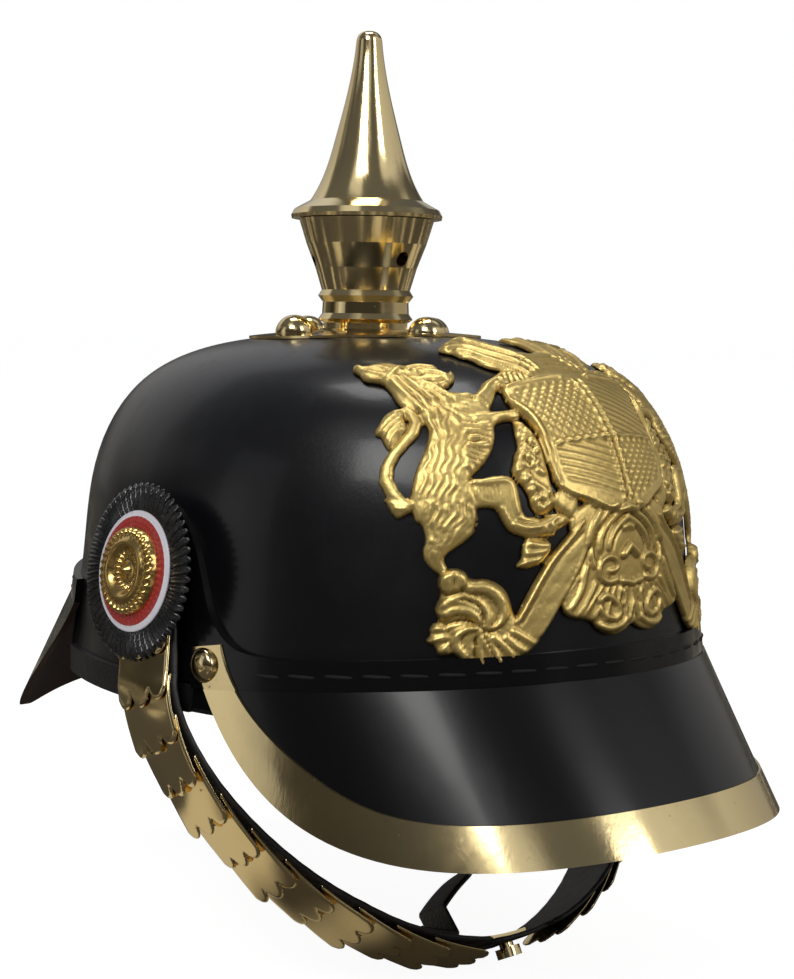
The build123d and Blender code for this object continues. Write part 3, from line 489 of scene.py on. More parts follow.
# The plate's forms on the wearer's right: lift and shoulder in mm, then outlines picked on the crops
PICKED_FORMS = {
    "crowned_head": (1.6, 3.4, (HEAD, [(50, 225), (75, 208), (105, 210), (135, 222), (180, 213), (225, 202),
        (275, 197), (335, 200), (395, 222), (450, 212), (520, 208), (600, 215), (655, 225), (650, 240),
        (690, 255), (718, 272), (722, 262), (742, 254), (768, 272), (778, 298), (765, 325), (740, 340),
        (735, 358), (700, 370), (712, 392), (760, 407), (840, 408), (895, 412), (930, 420), (900, 470),
        (760, 520), (560, 560), (400, 505), (360, 470), (320, 400), (290, 360), (258, 335), (210, 325),
        (150, 318), (115, 300), (105, 275), (80, 262), (56, 248)])),
    "body": (1.5, 4.6, (HEAD, [(560, 450), (760, 440), (900, 440), (990, 480), (1035, 540), (1050, 600),
        (1055, 650), (1060, 720), (1048, 790), (1020, 850), (985, 905), (930, 965), (878, 1015),
        (870, 1090), (925, 1200), (942, 1260), (938, 1340), (900, 1420)]), (FOOT, [(322, 60), (322, 110),
        (300, 160), (258, 200), (205, 235), (162, 265), (148, 290), (160, 325), (180, 352), (150, 370),
        (118, 372), (95, 352), (68, 330), (42, 290), (36, 240), (52, 205), (48, 160), (28, 110)]),
        (HEAD, [(500, 1320), (478, 1262), (462, 1190), (468, 1110), (480, 1025), (500, 950), (530, 880),
        (560, 820), (582, 740), (592, 690), (575, 640), (545, 600), (500, 560)])),
    "upper_arm": (1.6, 2.4, (HEAD, [(880, 430), (905, 428), (950, 375), (962, 345), (985, 325), (1050, 295),
        (1082, 265), (1125, 250), (1200, 262), (1300, 290), (1345, 330), (1290, 350), (1180, 352),
        (1065, 388), (1060, 430), (1040, 480), (1022, 530), (960, 540), (900, 500)])),
    "lower_arm": (1.9, 2.4, (HEAD, [(860, 560), (960, 548), (1060, 543), (1120, 540), (1185, 526),
        (1235, 560), (1230, 600), (1185, 603), (1120, 607), (1060, 630), (1040, 690), (960, 680),
        (900, 640)])),
    "raised_leg": (1.7, 3, (HEAD, [(800, 1100), (878, 1015), (960, 1012), (1040, 995), (1110, 988),
        (1170, 1000), (1212, 1048), (1230, 1110), (1242, 1180), (1258, 1245), (1280, 1283), (1340, 1283)]),
        (FOOT, [(640, 90), (690, 60), (740, 58), (775, 75), (790, 105), (760, 125), (740, 140), (715, 150),
        (712, 180), (680, 178), (640, 178), (600, 186), (560, 182), (520, 170), (480, 152), (455, 120),
        (435, 85), (420, 50)]), (HEAD, [(1060, 1225), (1000, 1218), (950, 1222), (900, 1230)])),
    "paw": (2.6, 1.8, (FOOT, [(115, 400), (120, 372), (160, 345), (190, 336), (230, 340), (262, 360),
        (275, 390), (262, 430), (235, 452), (190, 470), (150, 470), (120, 448)])),
    "tuft": (1.2, 2.6, (HEAD, [(430, 520), (370, 515), (330, 525), (285, 555), (255, 590), (235, 630),
        (200, 680), (215, 705), (250, 712), (268, 760), (300, 808), (330, 800), (365, 760), (390, 715),
        (425, 680), (440, 640), (420, 600), (410, 560)])),
    "tail_leaf": (1.2, 1.6, (HEAD, [(268, 1152), (300, 1160), (340, 1150), (400, 1180), (470, 1190),
        (485, 1240), (430, 1270), (372, 1298), (350, 1275), (318, 1240), (302, 1200)])),
    "mantling": (1.4, 3, (HEAD, [(650, 95), (690, 60), (740, 30), (800, 18), (880, 32), (960, 60),
        (1060, 85), (1160, 115), (1230, 145), (1300, 180), (1345, 222), (1372, 262), (1350, 330),
        (1230, 290), (1130, 248), (1040, 232), (960, 205), (880, 160), (820, 152), (770, 125),
        (700, 112)])),
    "garland": (0.9, 2.4, (HEAD, [(1185, 600), (1240, 600), (1320, 680), (1380, 760), (1420, 900),
        (1450, 1020), (1480, 1120), (1490, 1200), (1440, 1262), (1380, 1276), (1330, 1240), (1310, 1200),
        (1300, 1140), (1250, 1060), (1200, 1000), (1172, 965), (1190, 900), (1195, 840), (1222, 800),
        (1205, 720), (1190, 660)])),
    "ribbon": (1.4, 1, (FOOT, [(500, 615), (530, 560), (575, 470), (625, 380), (665, 310), (710, 250),
        (760, 190), (810, 130), (860, 60), (900, 80), (890, 200), (850, 320), (800, 420), (755, 500),
        (720, 570), (680, 640), (640, 705), (580, 700), (520, 660)])),
    "coil": (1.5, 4, (FOOT, [(118, 400), (180, 380), (260, 375), (300, 395), (360, 390), (420, 412),
        (465, 450), (490, 505), (500, 560), (540, 640), (600, 650), (650, 690), (620, 740), (560, 790),
        (480, 830), (400, 850), (320, 858), (270, 840), (225, 805), (180, 770), (160, 700), (165, 640),
        (120, 600), (100, 555), (108, 520), (130, 480)])),
    "coil_leaf": (1.2, 1.8, (FOOT, [(170, 620), (100, 612), (70, 650), (80, 680), (56, 705), (62, 725),
        (100, 740), (118, 790), (150, 792), (200, 780), (190, 700)])),
    "heel_leaf": (1.2, 1.8, (FOOT, [(560, 190), (620, 182), (700, 200), (690, 260), (640, 320), (600, 335),
        (560, 345), (520, 335), (516, 318), (545, 290), (545, 240)])),
    "rosette": (1.5, 4.5, (FOOT, [(860, 60), (960, 20), (1060, 10), (1160, 30), (1260, 50), (1330, 90),
        (1380, 160), (1390, 260), (1370, 370), (1345, 430), (1340, 500), (1310, 560), (1250, 600),
        (1190, 585), (1172, 655), (1140, 668), (1120, 640), (1105, 620), (1060, 670), (1000, 690),
        (940, 665), (900, 610), (830, 605), (775, 590), (748, 540), (760, 480), (800, 400), (850, 320),
        (890, 200)])),
}
# Forms set in mm across and up the plate: lift, shoulder, outline
MEASURED_FORMS = {
    "shield": (1.2, 1.4, [(-26.9, 43), (-21.1, 43.9), (-11.6, 44.4), (0, 44.6), (8, 44.6), (8, -3.6),
        (0, -3.4), (-6, -2.2), (-10.2, -0.6), (-14.4, 1.6), (-20.7, 4.4), (-23.7, 7.5), (-24.6, 13.1),
        (-24.1, 19.9), (-24.6, 25.5), (-26, 31.5), (-28.4, 36.2)]),
    "garland_foot": (1.2, 2.2, [(-26, 4), (-23.5, 7), (-20.5, 5), (-17, 2.8), (-18.5, -1), (-21, -2.5),
        (-22.5, -0.5), (-24.8, 0.8)]),
    "rosette_top": (1.4, 3.5, [(-21.6, -3.1), (-20, -0.1), (-14.4, 1.9), (-6.4, -0.2), (5.4, 0.5),
        (3.2, -11.1), (-8, -10.3), (-17.9, -11.9), (-21.1, -8.5)]),
    "mantling_middle": (1.5, 3.5, [(8, 58), (0, 58.5), (-5, 60.5), (-9, 57), (-13, 52), (-15, 46),
        (-14, 42), (8, 42)]),
}

LION_TAIL = picked(HEAD, [(470, 1200), (400, 1175), (340, 1115), (290, 1020), (297, 930), (345, 840),
    (415, 760), (475, 690), (500, 620), (470, 560), (425, 522)])
TAIL_WIDTHS = [2.2, 2.6, 2.9, 3.1, 3.1, 3.0, 2.9, 3.2, 3.0, 2.6, 2.0]
# Ridges and grooves: crop, width in mm at the start and end, height in mm, lines on the crop. Where a
# groove runs beside each ridge, its shift on the crop, widths and height follow.
STROKE_GROUPS = [
    (HEAD, 1.4, 1.4, 0.8, [[(400, 226), (340, 270), (285, 335)]]),
    (HEAD, 1, 1, 0.5, [[(375, 218), (315, 262), (262, 322)]]),
    (HEAD, 1.3, 0.8, 0.55, [[(330, 262), (250, 232), (180, 222), (120, 240)]]),
    (HEAD, 1.3, 0.8, 0.6, [[(300, 300), (220, 280), (150, 262), (110, 252)]]),
    (HEAD, 1.2, 0.8, 0.5, [[(275, 318), (200, 312), (140, 295), (112, 270)]]),
    (HEAD, 2.4, 2.2, 0.9, [[(55, 228), (95, 240)]]),
    (HEAD, 1.5, 1.2, 0.8, [[(430, 245), (500, 226), (575, 232), (640, 240)]]),
    (HEAD, 1.8, 1.6, 0.9, [[(480, 262), (500, 268)]]),
    (HEAD, 0.9, 0.9, -0.7, [[(455, 290), (520, 300), (560, 280)]]),
    (HEAD, 2.6, 2, 0.9, [[(560, 270), (620, 268), (680, 285), (712, 300)]]),
    (HEAD, 1.3, 1, -1, [[(600, 330), (650, 335), (700, 322)]]),
    (HEAD, 1.3, 1, 0.7, [[(600, 352), (660, 360), (705, 352), (745, 330), (762, 300), (745, 272)]]),
    (HEAD, 1.3, 0.9, 0.6, [[(400, 262), (420, 300), (470, 330), (540, 345)]]),
    (HEAD, 1, 0.8, -0.5, [[(410, 235), (395, 270), (400, 310)]]),
    (HEAD, 1.7, 0.94, 0.75, [[(330, 330), (380, 390), (450, 450), (520, 510), (580, 570), (620, 640),
        (630, 700)], [(360, 310), (420, 370), (500, 430), (570, 490), (630, 550), (668, 620),
        (680, 690)]], (16, -22, 0.7, 0.5, -0.55)),
    (HEAD, 1.6, 0.88, 0.8, [[(400, 300), (470, 360), (550, 410), (620, 460), (680, 520), (710, 590),
        (715, 660)], [(450, 330), (530, 370), (610, 410), (680, 450), (740, 500), (800, 530), (860, 540)],
        [(540, 340), (600, 375), (670, 410), (740, 440), (820, 450), (900, 480),
        (970, 520)]], (16, -22, 0.7, 0.5, -0.55)),
    (HEAD, 1.5, 0.83, 0.7, [[(600, 350), (670, 390), (740, 415), (820, 422), (900, 440), (960, 470),
        (1010, 515)]], (16, -22, 0.7, 0.5, -0.55)),
    (HEAD, 1.3, 0.72, 0.6, [[(640, 600), (690, 640), (720, 700), (700, 760)], [(720, 510), (790, 560),
        (850, 590), (920, 600)]], (16, -22, 0.7, 0.5, -0.55)),
    (HEAD, 1.4, 0.77, 0.7, [[(710, 560), (760, 600), (800, 640), (880, 650),
        (940, 640)]], (16, -22, 0.7, 0.5, -0.55)),
    (HEAD, 1.2, 0.66, 0.5, [[(560, 560), (610, 610), (640, 690), (640, 760)]], (16, -22, 0.7, 0.5, -0.55)),
    (HEAD, 1.6, 0.7, 0.8, [[(870, 735), (960, 740), (1045, 742)], [(865, 775), (950, 788), (1035, 792)],
        [(868, 815), (945, 838), (1018, 852)], [(872, 850), (940, 880), (990, 905)], [(870, 890),
        (920, 925), (955, 948)], [(860, 925), (890, 960), (905, 985)], [(860, 690), (960, 690),
        (1040, 690)]], (0, 19, 0.8, 0.5, -0.6)),
    (HEAD, 1, 0.8, -0.6, [[(880, 1030), (905, 1110), (940, 1200), (950, 1280)]]),
    (HEAD, 2.2, 1.4, 0.5, [[(760, 1050), (820, 1090), (870, 1150), (905, 1230), (900, 1320)]]),
    (FOOT, 1.4, 1, 0.5, [[(60, 200), (95, 215), (140, 235)]]),
    (FOOT, 0.8, 0.6, -0.45, [[(85, 250), (95, 300), (110, 350)]]),
    (FOOT, 0.8, 0.6, 0.4, [[(120, 262), (125, 310), (145, 350)]]),
    (FOOT, 1.9, 1.5, 0.9, [[(150, 380), (135, 410), (132, 450)], [(185, 365), (175, 400), (172, 450)],
        [(220, 362), (222, 395), (215, 440)], [(245, 372), (258, 400), (250, 430)]]),
    (HEAD, 2, 1.4, 0.5, [[(900, 1040), (980, 1045), (1060, 1035), (1130, 1030), (1175, 1060), (1190, 1130),
        (1200, 1200), (1220, 1260)]]),
    (HEAD, 1, 0.7, 0.5, [[(1100, 1225), (1130, 1280), (1160, 1340), (1190, 1385)]]),
    (FOOT, 1.6, 1, 0.7, [[(500, 120), (560, 140), (620, 135), (680, 110), (715, 85)]]),
    (FOOT, 0.8, 0.6, -0.6, [[(520, 100), (580, 112), (640, 100), (700, 72)]]),
    (FOOT, 2, 1.8, 0.8, [[(700, 62), (735, 72)], [(740, 80), (775, 90)], [(735, 110), (762, 122)],
        [(690, 120), (705, 150)], [(655, 140), (668, 168)]]),
    (HEAD, 1.8, 1.4, 0.5, [[(930, 440), (980, 400), (1010, 350), (1070, 310), (1130, 280), (1200, 290)]]),
    (HEAD, 2, 2, 0.9, [[(1080, 360), (1100, 372)]]),
    (HEAD, 2, 2, 0.8, [[(1105, 330), (1130, 345)]]),
    (HEAD, 1.8, 1.2, 0.5, [[(900, 600), (980, 590), (1060, 580), (1140, 568), (1200, 556)]]),
    (HEAD, 1.2, 0.7, 0.6, [[(930, 640), (1000, 650), (1045, 655)]]),
    (HEAD, 1.3, 0.7, 0.7, [[(420, 560), (350, 570), (290, 610), (245, 665)], [(415, 590), (350, 610),
        (290, 660), (262, 700)], [(405, 625), (350, 650), (300, 710), (290, 760)], [(400, 660), (360, 690),
        (325, 740), (312, 790)], [(385, 545), (320, 550), (275, 580)]]),
    (HEAD, 1.2, 0.6, 0.7, [[(455, 1205), (400, 1200), (340, 1180), (290, 1160)], [(460, 1225), (400, 1232),
        (340, 1215)], [(462, 1245), (420, 1262), (375, 1285)]]),
    (HEAD, 1.9, 1.4, 0.9, [[(690, 80), (780, 55), (870, 55), (960, 85), (1080, 115), (1200, 150),
        (1290, 200), (1345, 250)], [(700, 98), (790, 85), (880, 95), (970, 125), (1080, 155), (1180, 185),
        (1270, 225), (1330, 270)], [(790, 118), (870, 125), (950, 160), (1040, 190), (1130, 215),
        (1220, 245), (1300, 290)], [(760, 40), (830, 38), (920, 62), (1040, 98), (1150, 130),
        (1250, 170)]], (4, 18, 0.7, 0.6, -0.6)),
    (HEAD, 1.8, 1.8, 1.2, [[(1065, 388), (1120, 420), (1140, 470), (1190, 500), (1250, 535), (1320, 600),
        (1372, 690), (1400, 780), (1425, 880), (1450, 980), (1480, 1070)]]),
    (HEAD, 0.8, 0.8, -0.6, [[(1174, 458), (1224, 488), (1284, 523), (1354, 588), (1406, 678), (1434, 768),
        (1459, 868), (1484, 968), (1514, 1058)]]),
    (HEAD, 1.8, 1.8, 1.1, [[(1080, 385), (1150, 365), (1250, 350), (1340, 335), (1420, 330), (1490, 335)]]),
    (WHOLE, 1.8, 1.8, 1.2, [[(520, 392), (545, 412), (590, 428), (625, 442), (655, 455)]]),
    (FOOT, 1.3, 1.1, 1, [[(518, 610), (560, 535), (605, 450), (650, 370), (695, 295), (745, 235),
        (800, 170), (850, 100)], [(655, 690), (700, 600), (745, 520), (785, 440), (825, 355), (860, 270),
        (880, 180)]]),
    (FOOT, 0.8, 0.7, -0.5, [[(545, 620), (590, 540), (640, 450), (690, 360), (740, 280), (800, 215),
        (850, 160)]]),
    (FOOT, 3.6, 1.6, 1.3, [[(130, 585), (185, 548), (250, 545), (310, 575), (338, 630)]]),
    (FOOT, 3.2, 2, 1.2, [[(150, 520), (210, 490), (285, 500), (345, 540), (372, 600), (360, 660)]]),
    (FOOT, 3.8, 2.4, 1.4, [[(290, 425), (360, 425), (415, 460), (450, 520), (450, 590), (410, 640)]]),
    (FOOT, 4, 1.6, 1.5, [[(225, 800), (195, 740), (205, 680), (255, 648), (315, 640)]]),
    (FOOT, 2.4, 1.6, 1.1, [[(340, 670), (370, 730), (420, 800), (450, 835)]]),
    (FOOT, 1.8, 1.4, 0.9, [[(400, 690), (460, 740), (500, 790), (520, 815)], [(460, 690), (520, 740),
        (570, 770)]]),
    (FOOT, 1.8, 1.2, 0.9, [[(500, 660), (570, 700), (620, 735)]]),
    (FOOT, 1.4, 1.2, 0.8, [[(330, 700), (330, 770), (350, 840)]]),
    (FOOT, 2.6, 2.4, 0.9, [[(340, 650), (332, 640)]]),
    (FOOT, 0.9, 0.8, -1.3, [[(155, 628), (215, 603), (290, 608), (335, 640)], [(235, 490), (310, 512),
        (350, 560), (345, 628)], [(425, 640), (380, 670), (345, 650)], [(345, 668), (390, 760), (420, 835)],
        [(310, 690), (300, 780), (320, 850)]]),
    (FOOT, 2, 1.2, 0.8, [[(165, 640), (110, 640), (80, 660)], [(160, 690), (110, 700), (66, 712)],
        [(165, 740), (125, 765), (115, 785)]]),
    (FOOT, 2.2, 1.4, 0.9, [[(690, 220), (640, 230), (590, 215)], [(680, 250), (620, 262), (560, 265)],
        [(640, 300), (590, 300), (535, 320)]]),
    (FOOT, 2.3, 1.4, 1.1, [[(1060, 40), (985, 90), (935, 170), (930, 250)], [(1000, 30), (930, 90),
        (890, 170), (885, 260), (900, 330)], [(1100, 60), (1030, 110), (985, 180), (975, 240)], [(930, 60),
        (880, 140), (868, 230)]], (22, 4, 0.7, 0.6, -0.6)),
    (FOOT, 2.2, 1.8, 1, [[(1050, 130), (1110, 110), (1170, 125), (1215, 170)]]),
    (FOOT, 2.4, 2, 1.7, [[(1050, 270), (1085, 215), (1120, 180), (1160, 175), (1195, 200), (1225, 245)]]),
    (FOOT, 1.8, 1.2, 1.2, [[(1015, 395), (960, 412), (925, 370), (930, 310), (975, 275), (1020, 295),
        (1020, 345), (980, 352)]]),
    (FOOT, 1.8, 1.6, 1.3, [[(1040, 400), (1090, 405), (1140, 440), (1180, 400), (1240, 385)]]),
    (FOOT, 2.4, 1.8, 1.1, [[(860, 330), (850, 400), (830, 470), (790, 540)]]),
    (FOOT, 2, 1.6, 0.9, [[(905, 420), (880, 480), (850, 540), (820, 590)]]),
    (FOOT, 2, 1.4, 1.2, [[(930, 500), (960, 470), (1010, 500), (1040, 560), (1010, 600), (950, 580),
        (935, 540)]]),
    (FOOT, 2.6, 1.8, 1.2, [[(930, 640), (980, 650), (1040, 630), (1070, 590)]]),
    (FOOT, 1.8, 1.3, 1, [[(1120, 460), (1090, 520), (1080, 600)], [(1050, 450), (1060, 480),
        (1050, 520)]], (13, 2, 0.6, 0.5, -0.6)),
    (FOOT, 1.2, 1, 0.6, [[(760, 500), (790, 440), (830, 380)]]),
    (FOOT, 2.2, 2, 0.8, [[(770, 560), (800, 590)]]),
]
# Centres of the garland's berries
BERRIES = [
    (1230, 655), (1290, 690), (1255, 735), (1325, 760), (1350, 820), (1280, 800), (1245, 850), (1310, 870),
    (1215, 910), (1275, 930), (1345, 910), (1380, 970), (1215, 965), (1290, 1000), (1260, 1040),
    (1345, 1060), (1310, 1110), (1390, 1090), (1345, 1170), (1400, 1150), (1440, 1110), (1380, 1225),
    (1430, 1200),
]


def plate_forms():
    """Every form of the plate, its outline in mm."""
    forms = dict(MEASURED_FORMS)
    for name, (lift, shoulder, *parts) in PICKED_FORMS.items():
        forms[name] = (lift, shoulder, sum((picked(*part) for part in parts), []))
    return forms


def repeated_lines():
    """The lions' fur and the garland's berries: crop, line on it, widths and height in mm."""
    for k, x in enumerate(range(590, 880, 26)):
        chest = [(x, 720 + 30 * (k % 2)), (x - 14, 800), (x - 30, 880), (x - 52, 960 + 20 * (k % 3))]
        yield HEAD, chest, 0.75, 0.45, 0.42 if k % 2 else -0.42
    for k, x in enumerate(range(560, 840, 26)):
        belly = [(x - 10, 985 + 15 * (k % 2)), (x - 30, 1060), (x - 50, 1130), (x - 60, 1180)]
        yield HEAD, belly, 0.8, 0.45, 0.4 if k % 2 else -0.42
    for k in range(11):
        x = 560 + 32 * k
        haunch = [(x, 1180 + 8 * (k % 3)), (x + 8 - 3 * k, 1250), (x - 6 * k + 6, 1330), (x - 9 * k, 1385)]
        yield HEAD, haunch, 0.8, 0.45, 0.42 if k % 2 else -0.42
    for k in range(7):
        x = 80 + 34 * k
        hock = [(x, 60 + 12 * (k % 2)), (x - 2, 120), (x - 4.8 * k, 170), (108 + 8 * k, 225)]
        yield FOOT, hock, 0.8, 0.45, 0.42 if k % 2 else -0.4
    for k in range(5):
        thigh = [(930 + 34 * k, 1060 + 6 * k), (960 + 30 * k, 1120), (990 + 24 * k, 1180)]
        yield HEAD, thigh, 0.7, 0.4, -0.4
        arm = [(1090 + 40 * k, 262 + 8 * k), (1110 + 42 * k, 300 + 8 * k), (1120 + 42 * k, 345)]
        yield HEAD, arm, 0.8, 0.6, -0.6
    for k in range(4):
        yield HEAD, [(1150 + 22 * k, 545), (1158 + 22 * k, 590)], 0.7, 0.6, -0.5
    for k, (x, y) in enumerate(BERRIES):
        berry = [(x - 14, y - 10), (x + 14, y + 12)] if k % 2 else [(x - 12, y + 12), (x + 10, y - 12)]
        yield HEAD, berry, 2.2, 1.8, 1.0


def plate_strokes():
    """Every ridge and groove: line in mm, width at its start and end, height."""
    strokes = []
    for crop, first, last, lift, lines, *groove in STROKE_GROUPS:
        for line in lines:
            strokes.append((picked(crop, line), first, last, lift))
            for dx, dy, start, end, depth in groove:
                strokes.append((picked(crop, [(x + dx, y + dy) for x, y in line]), start, end, depth))
    strokes += [(picked(crop, line), first, last, lift) for crop, line, first, last, lift in repeated_lines()]
    for k in range(4):
        fold = [(-14 + 0.6 * k, 46.2 + 2.9 * k), (-7, 48.8 + 2.5 * k), (0, 49.4 + 2.3 * k)]
        strokes.append((fold, 1.5, 1.1, 0.7))
    for k in range(6):
        leaf = [(-2.4 * k, -23.5 + 0.3 * k), (-3.2 * k, -28 + 0.5 * k), (-3.9 * k, -33.4 + 0.9 * k)]
        strokes.append((leaf, 0.9, 1.8, 0.8))
    return strokes


PLATE_FORMS = plate_forms()
PLATE_STROKES = plate_strokes()


def swell(distance, width):
    """A rounded shoulder that rises over width from an outline's edge."""
    share = np.clip(-distance / width, 0, 1)
    return np.sqrt(np.clip(1 - (1 - share) ** 2, 0, 1))


def ridges(x, y, angle, pitch):
    """Parallel rounded ridges, 0 to 1."""
    run = x * math.cos(angle) + y * math.sin(angle)
    return 0.5 + 0.5 * np.cos(2 * math.pi * run / pitch)


def plate_relief(u, v):
    """Height in mm of the stamped relief and the distance to its outline."""
    x = -np.abs(u)
    outline = np.full(x.shape, FAR)
    height = np.full(x.shape, PLATE_GROUND)
    depths = {}
    for name, (lift, shoulder, points) in PLATE_FORMS.items():
        away = outline_distance(x, v, rounded(points))
        depths[name] = away
        form = lift * (0.45 + 0.55 * swell(away, 1.1)) + 1.1 * swell(away, shoulder)
        if name == "shield":
            form = form + SHIELD_BULGE * np.clip(1 - (u / SHIELD_HALF) ** 2, 0, 1)
        height = np.where(away < 0.3, np.maximum(height, form), height)
        outline = np.minimum(outline, away)
    tail = stem_distance(x, v, LION_TAIL, TAIL_WIDTHS)
    height = np.where(tail < 0.3, np.maximum(height, 1.1 + 1.2 * swell(tail, 1.6)), height)
    outline = np.minimum(outline, tail)

    raised = np.zeros_like(x)
    sunk = np.zeros_like(x)
    fur = np.clip(-depths["body"] / 1.5, 0, 1)
    wave_x = x + fur * (0.5 * np.sin(0.75 * v + 0.5 * x) + 0.2 * np.sin(1.7 * v - 0.9 * x))
    wave_v = v + fur * 0.4 * np.sin(0.9 * x + 0.6 * v)
    for line, first, last, lift in PLATE_STROKES:
        reach = max(first, last) + 0.9
        spots = flowing(line)
        near = (x > spots[:, 0].min() - reach) & (x < spots[:, 0].max() + reach)
        near &= (v > spots[:, 1].min() - reach) & (v < spots[:, 1].max() + reach)
        if not near.any():
            continue
        widths = np.linspace(first, last, len(spots))
        away = stem_distance(wave_x[near], wave_v[near], spots, widths)
        crest = swell(away, max(first, last) * 0.5) * lift * (1 - 0.35 * fur[near])
        if lift > 0:
            raised[near] = np.maximum(raised[near], crest)
        else:
            sunk[near] = np.minimum(sunk[near], crest)
    height = height + (raised + sunk) * np.clip(-outline / 1.3, 0.1, 1)

    shield = depths["shield"]
    field = np.clip((-shield - 3.0) / 0.6, 0, 1)
    ribs = np.exp(-((u + 1.5) ** 2) / 0.5) * 0.9 + np.exp(-((u - 1.5) ** 2) / 0.5) * 0.9
    ribs = ribs + np.exp(-((v - CROSS_HEIGHT) ** 2) / 0.4) * 0.9
    nets = ridges(u, v, 0.75, 2.3) * ridges(u, v, 2.39, 2.3)
    bars = ridges(u, v, 1.2, 2.2) * 0.6
    height = height + field * (ribs - 0.5 + 0.75 * np.where((u < 0) ^ (v < CROSS_HEIGHT), nets, bars))
    horn = np.clip(-depths["coil"] / 2, 0, 1)
    ahead, above = x - COIL_MIDDLE[0], v - COIL_MIDDLE[1]
    turn, away = np.arctan2(above, ahead), np.hypot(ahead, above)
    height = height + horn * 0.28 * ridges(away, turn * 7.0, 0.0, 1.35) * ridges(turn * 7.0, away, 0.0, 1.3)
    fine = ridges(x + 0.6 * np.sin(v * 0.9), v + 0.4 * np.sin(x * 1.3), 0.5, 1.3) * ridges(x, v, 2.2, 3.1)
    hair = ridges(x + 0.9 * np.sin(v * 0.55), v, 0.2, 1.15) * ridges(x, v + np.sin(x), 1.3, 4.3)
    height = height + 0.1 * fine + 0.2 * hair * fur
    return np.maximum(height, 0.5), outline


def panel(name, us, vs, edge, place, top, low, body, slot, material, replaced, flip=False, layer=None):
    """A plate or strap over a grid: edge is its outline, top and low its faces above the place."""
    u, v = np.meshgrid(us, vs, indexing="ij")
    outline = edge(u, v)
    du, dv = us[1] - us[0], vs[1] - vs[0]
    gu, gv = np.gradient(outline, du, dv)
    slope = np.maximum(gu ** 2 + gv ** 2, 0.6)
    rim = (outline > 0) & (outline < 1.5 * max(du * np.abs(gu).max(), dv * np.abs(gv).max()))
    u2 = np.where(rim, u - gu / slope * outline, u)
    v2 = np.where(rim, v - gv / slope * outline, v)
    inside = outline <= 0
    keep = inside[:-1, :-1] | inside[1:, :-1] | inside[:-1, 1:] | inside[1:, 1:]
    settled = np.minimum(outline, 0)
    high = np.stack(place(u2, v2, top(u2, v2, settled)), -1).reshape(-1, 3)
    under = np.stack(place(u2, v2, low(u2, v2, settled)), -1).reshape(-1, 3)
    index = np.arange(u.size).reshape(u.shape)
    i, j = np.nonzero(keep)
    quads = np.stack([index[i, j], index[i + 1, j], index[i + 1, j + 1], index[i, j + 1]], 1)
    count = u.size
    edges = {}
    for quad in quads.tolist():
        for a, b in zip(quad, quad[1:] + quad[:1]):
            if (b, a) in edges:
                del edges[(b, a)]
            else:
                edges[(a, b)] = True
    walls = [(b, a, a + count, b + count) for a, b in edges]
    backs = [tuple(k + count for k in reversed(quad)) for quad in quads.tolist()]
    used = np.zeros(2 * count, bool)
    used[quads.ravel()] = True
    used[quads.ravel() + count] = True
    renumber = np.cumsum(used) - 1
    faces = [[int(renumber[k]) for k in face] for face in quads.tolist() + walls + backs]
    points = np.concatenate([high, under])[used] * MM
    if flip:
        points = points * np.array([-1.0, 1.0, 1.0])
    layers = {}
    # The layer carries painted shade: the relief's hollows, and full shade on the plate's back faces
    if layer is not None:
        values = layer(u2, v2, settled).ravel()
        layers = {"low": np.concatenate([values, values * 0 + 1.0])[used]}
    outward(piece(name, points, faces, body, slot, material, replaced, layers))


def make_front_plate(material):
    """The stamped plate: a fine relief laid over the shell."""
    pitch = settings().relief_pitch / MM
    us = np.arange(-PLATE_HALF, PLATE_HALF + 0.01, pitch)
    vs = np.arange(PLATE_LOW, PLATE_HIGH, pitch)

    def lay(u, v, lift):
        start = (u.ravel(), v.ravel() * PLATE_UPWARD[1], v.ravel() * PLATE_UPWARD[2])
        px, py, pz = onto_crown(*start, PLATE_FORWARD, PLATE_LIFT)
        nx, ny, nz = px, py / STRETCH ** 2, np.maximum(pz - SIDE_HEIGHT, 0) * CROWN_LEAN
        norm = np.sqrt(nx ** 2 + ny ** 2 + nz ** 2)
        up = (lift.ravel() - PLATE_BACK) * settings().relief_height
        moved = (px + nx / norm * up, py + ny / norm * up, pz + nz / norm * up)
        return tuple(part.reshape(u.shape) for part in moved)

    def top(u, v, away):
        height = plate_relief(u, v)[0]
        return np.where(away > -0.01, 0.6, height)

    # Painted shade for the hollows: how far each point lies below its smoothed neighbours, stored as "low"
    def painted_hollow_shade(u, v, away):
        height = plate_relief(u, v)[0]
        soft = height.copy()
        for _ in range(5):
            soft[1:-1, 1:-1] = (soft[:-2, 1:-1] + soft[2:, 1:-1] + soft[1:-1, :-2] + soft[1:-1, 2:]) / 4
        return np.clip((soft - height) * 1.9 + 0.12, 0, 1)

    def edge(u, v):
        return plate_relief(u, v)[1]

    def low(u, v, away):
        return np.full(u.shape, PLATE_BACK)

    ride = ("helmet", "plate_brass", material, ["front_plate"])
    panel("front_plate_relief", us, vs, edge, lay, top, low, *ride, layer=painted_hollow_shade)


# Cockades and chin straps, in mm

STRAP_HEAD = Vector((100.8, -5.5, 40.0))
STRAP_KNEE = Vector((105.6, -13.6, 8.0))
STRAP_FALL = (STRAP_KNEE - STRAP_HEAD).normalized()
STRAP_DROP = 31.0
STRAP_LOW = Vector((70.0, -67.2, -84.5))
STRAP_MEETING = Vector((0.0, -67.2, -84.5))
STRAP_LEAN = math.radians(28.0)
HALF_THICK = 0.8
LINING_TOP = 13.0
PETALS_RADIUS = 28.0
RINGS_RADIUS = 19.0
RED_RADIUS = 17.2
ROSETTE_RADIUS = 14.0
PETALS = 56
SIDES = ("left", "right")


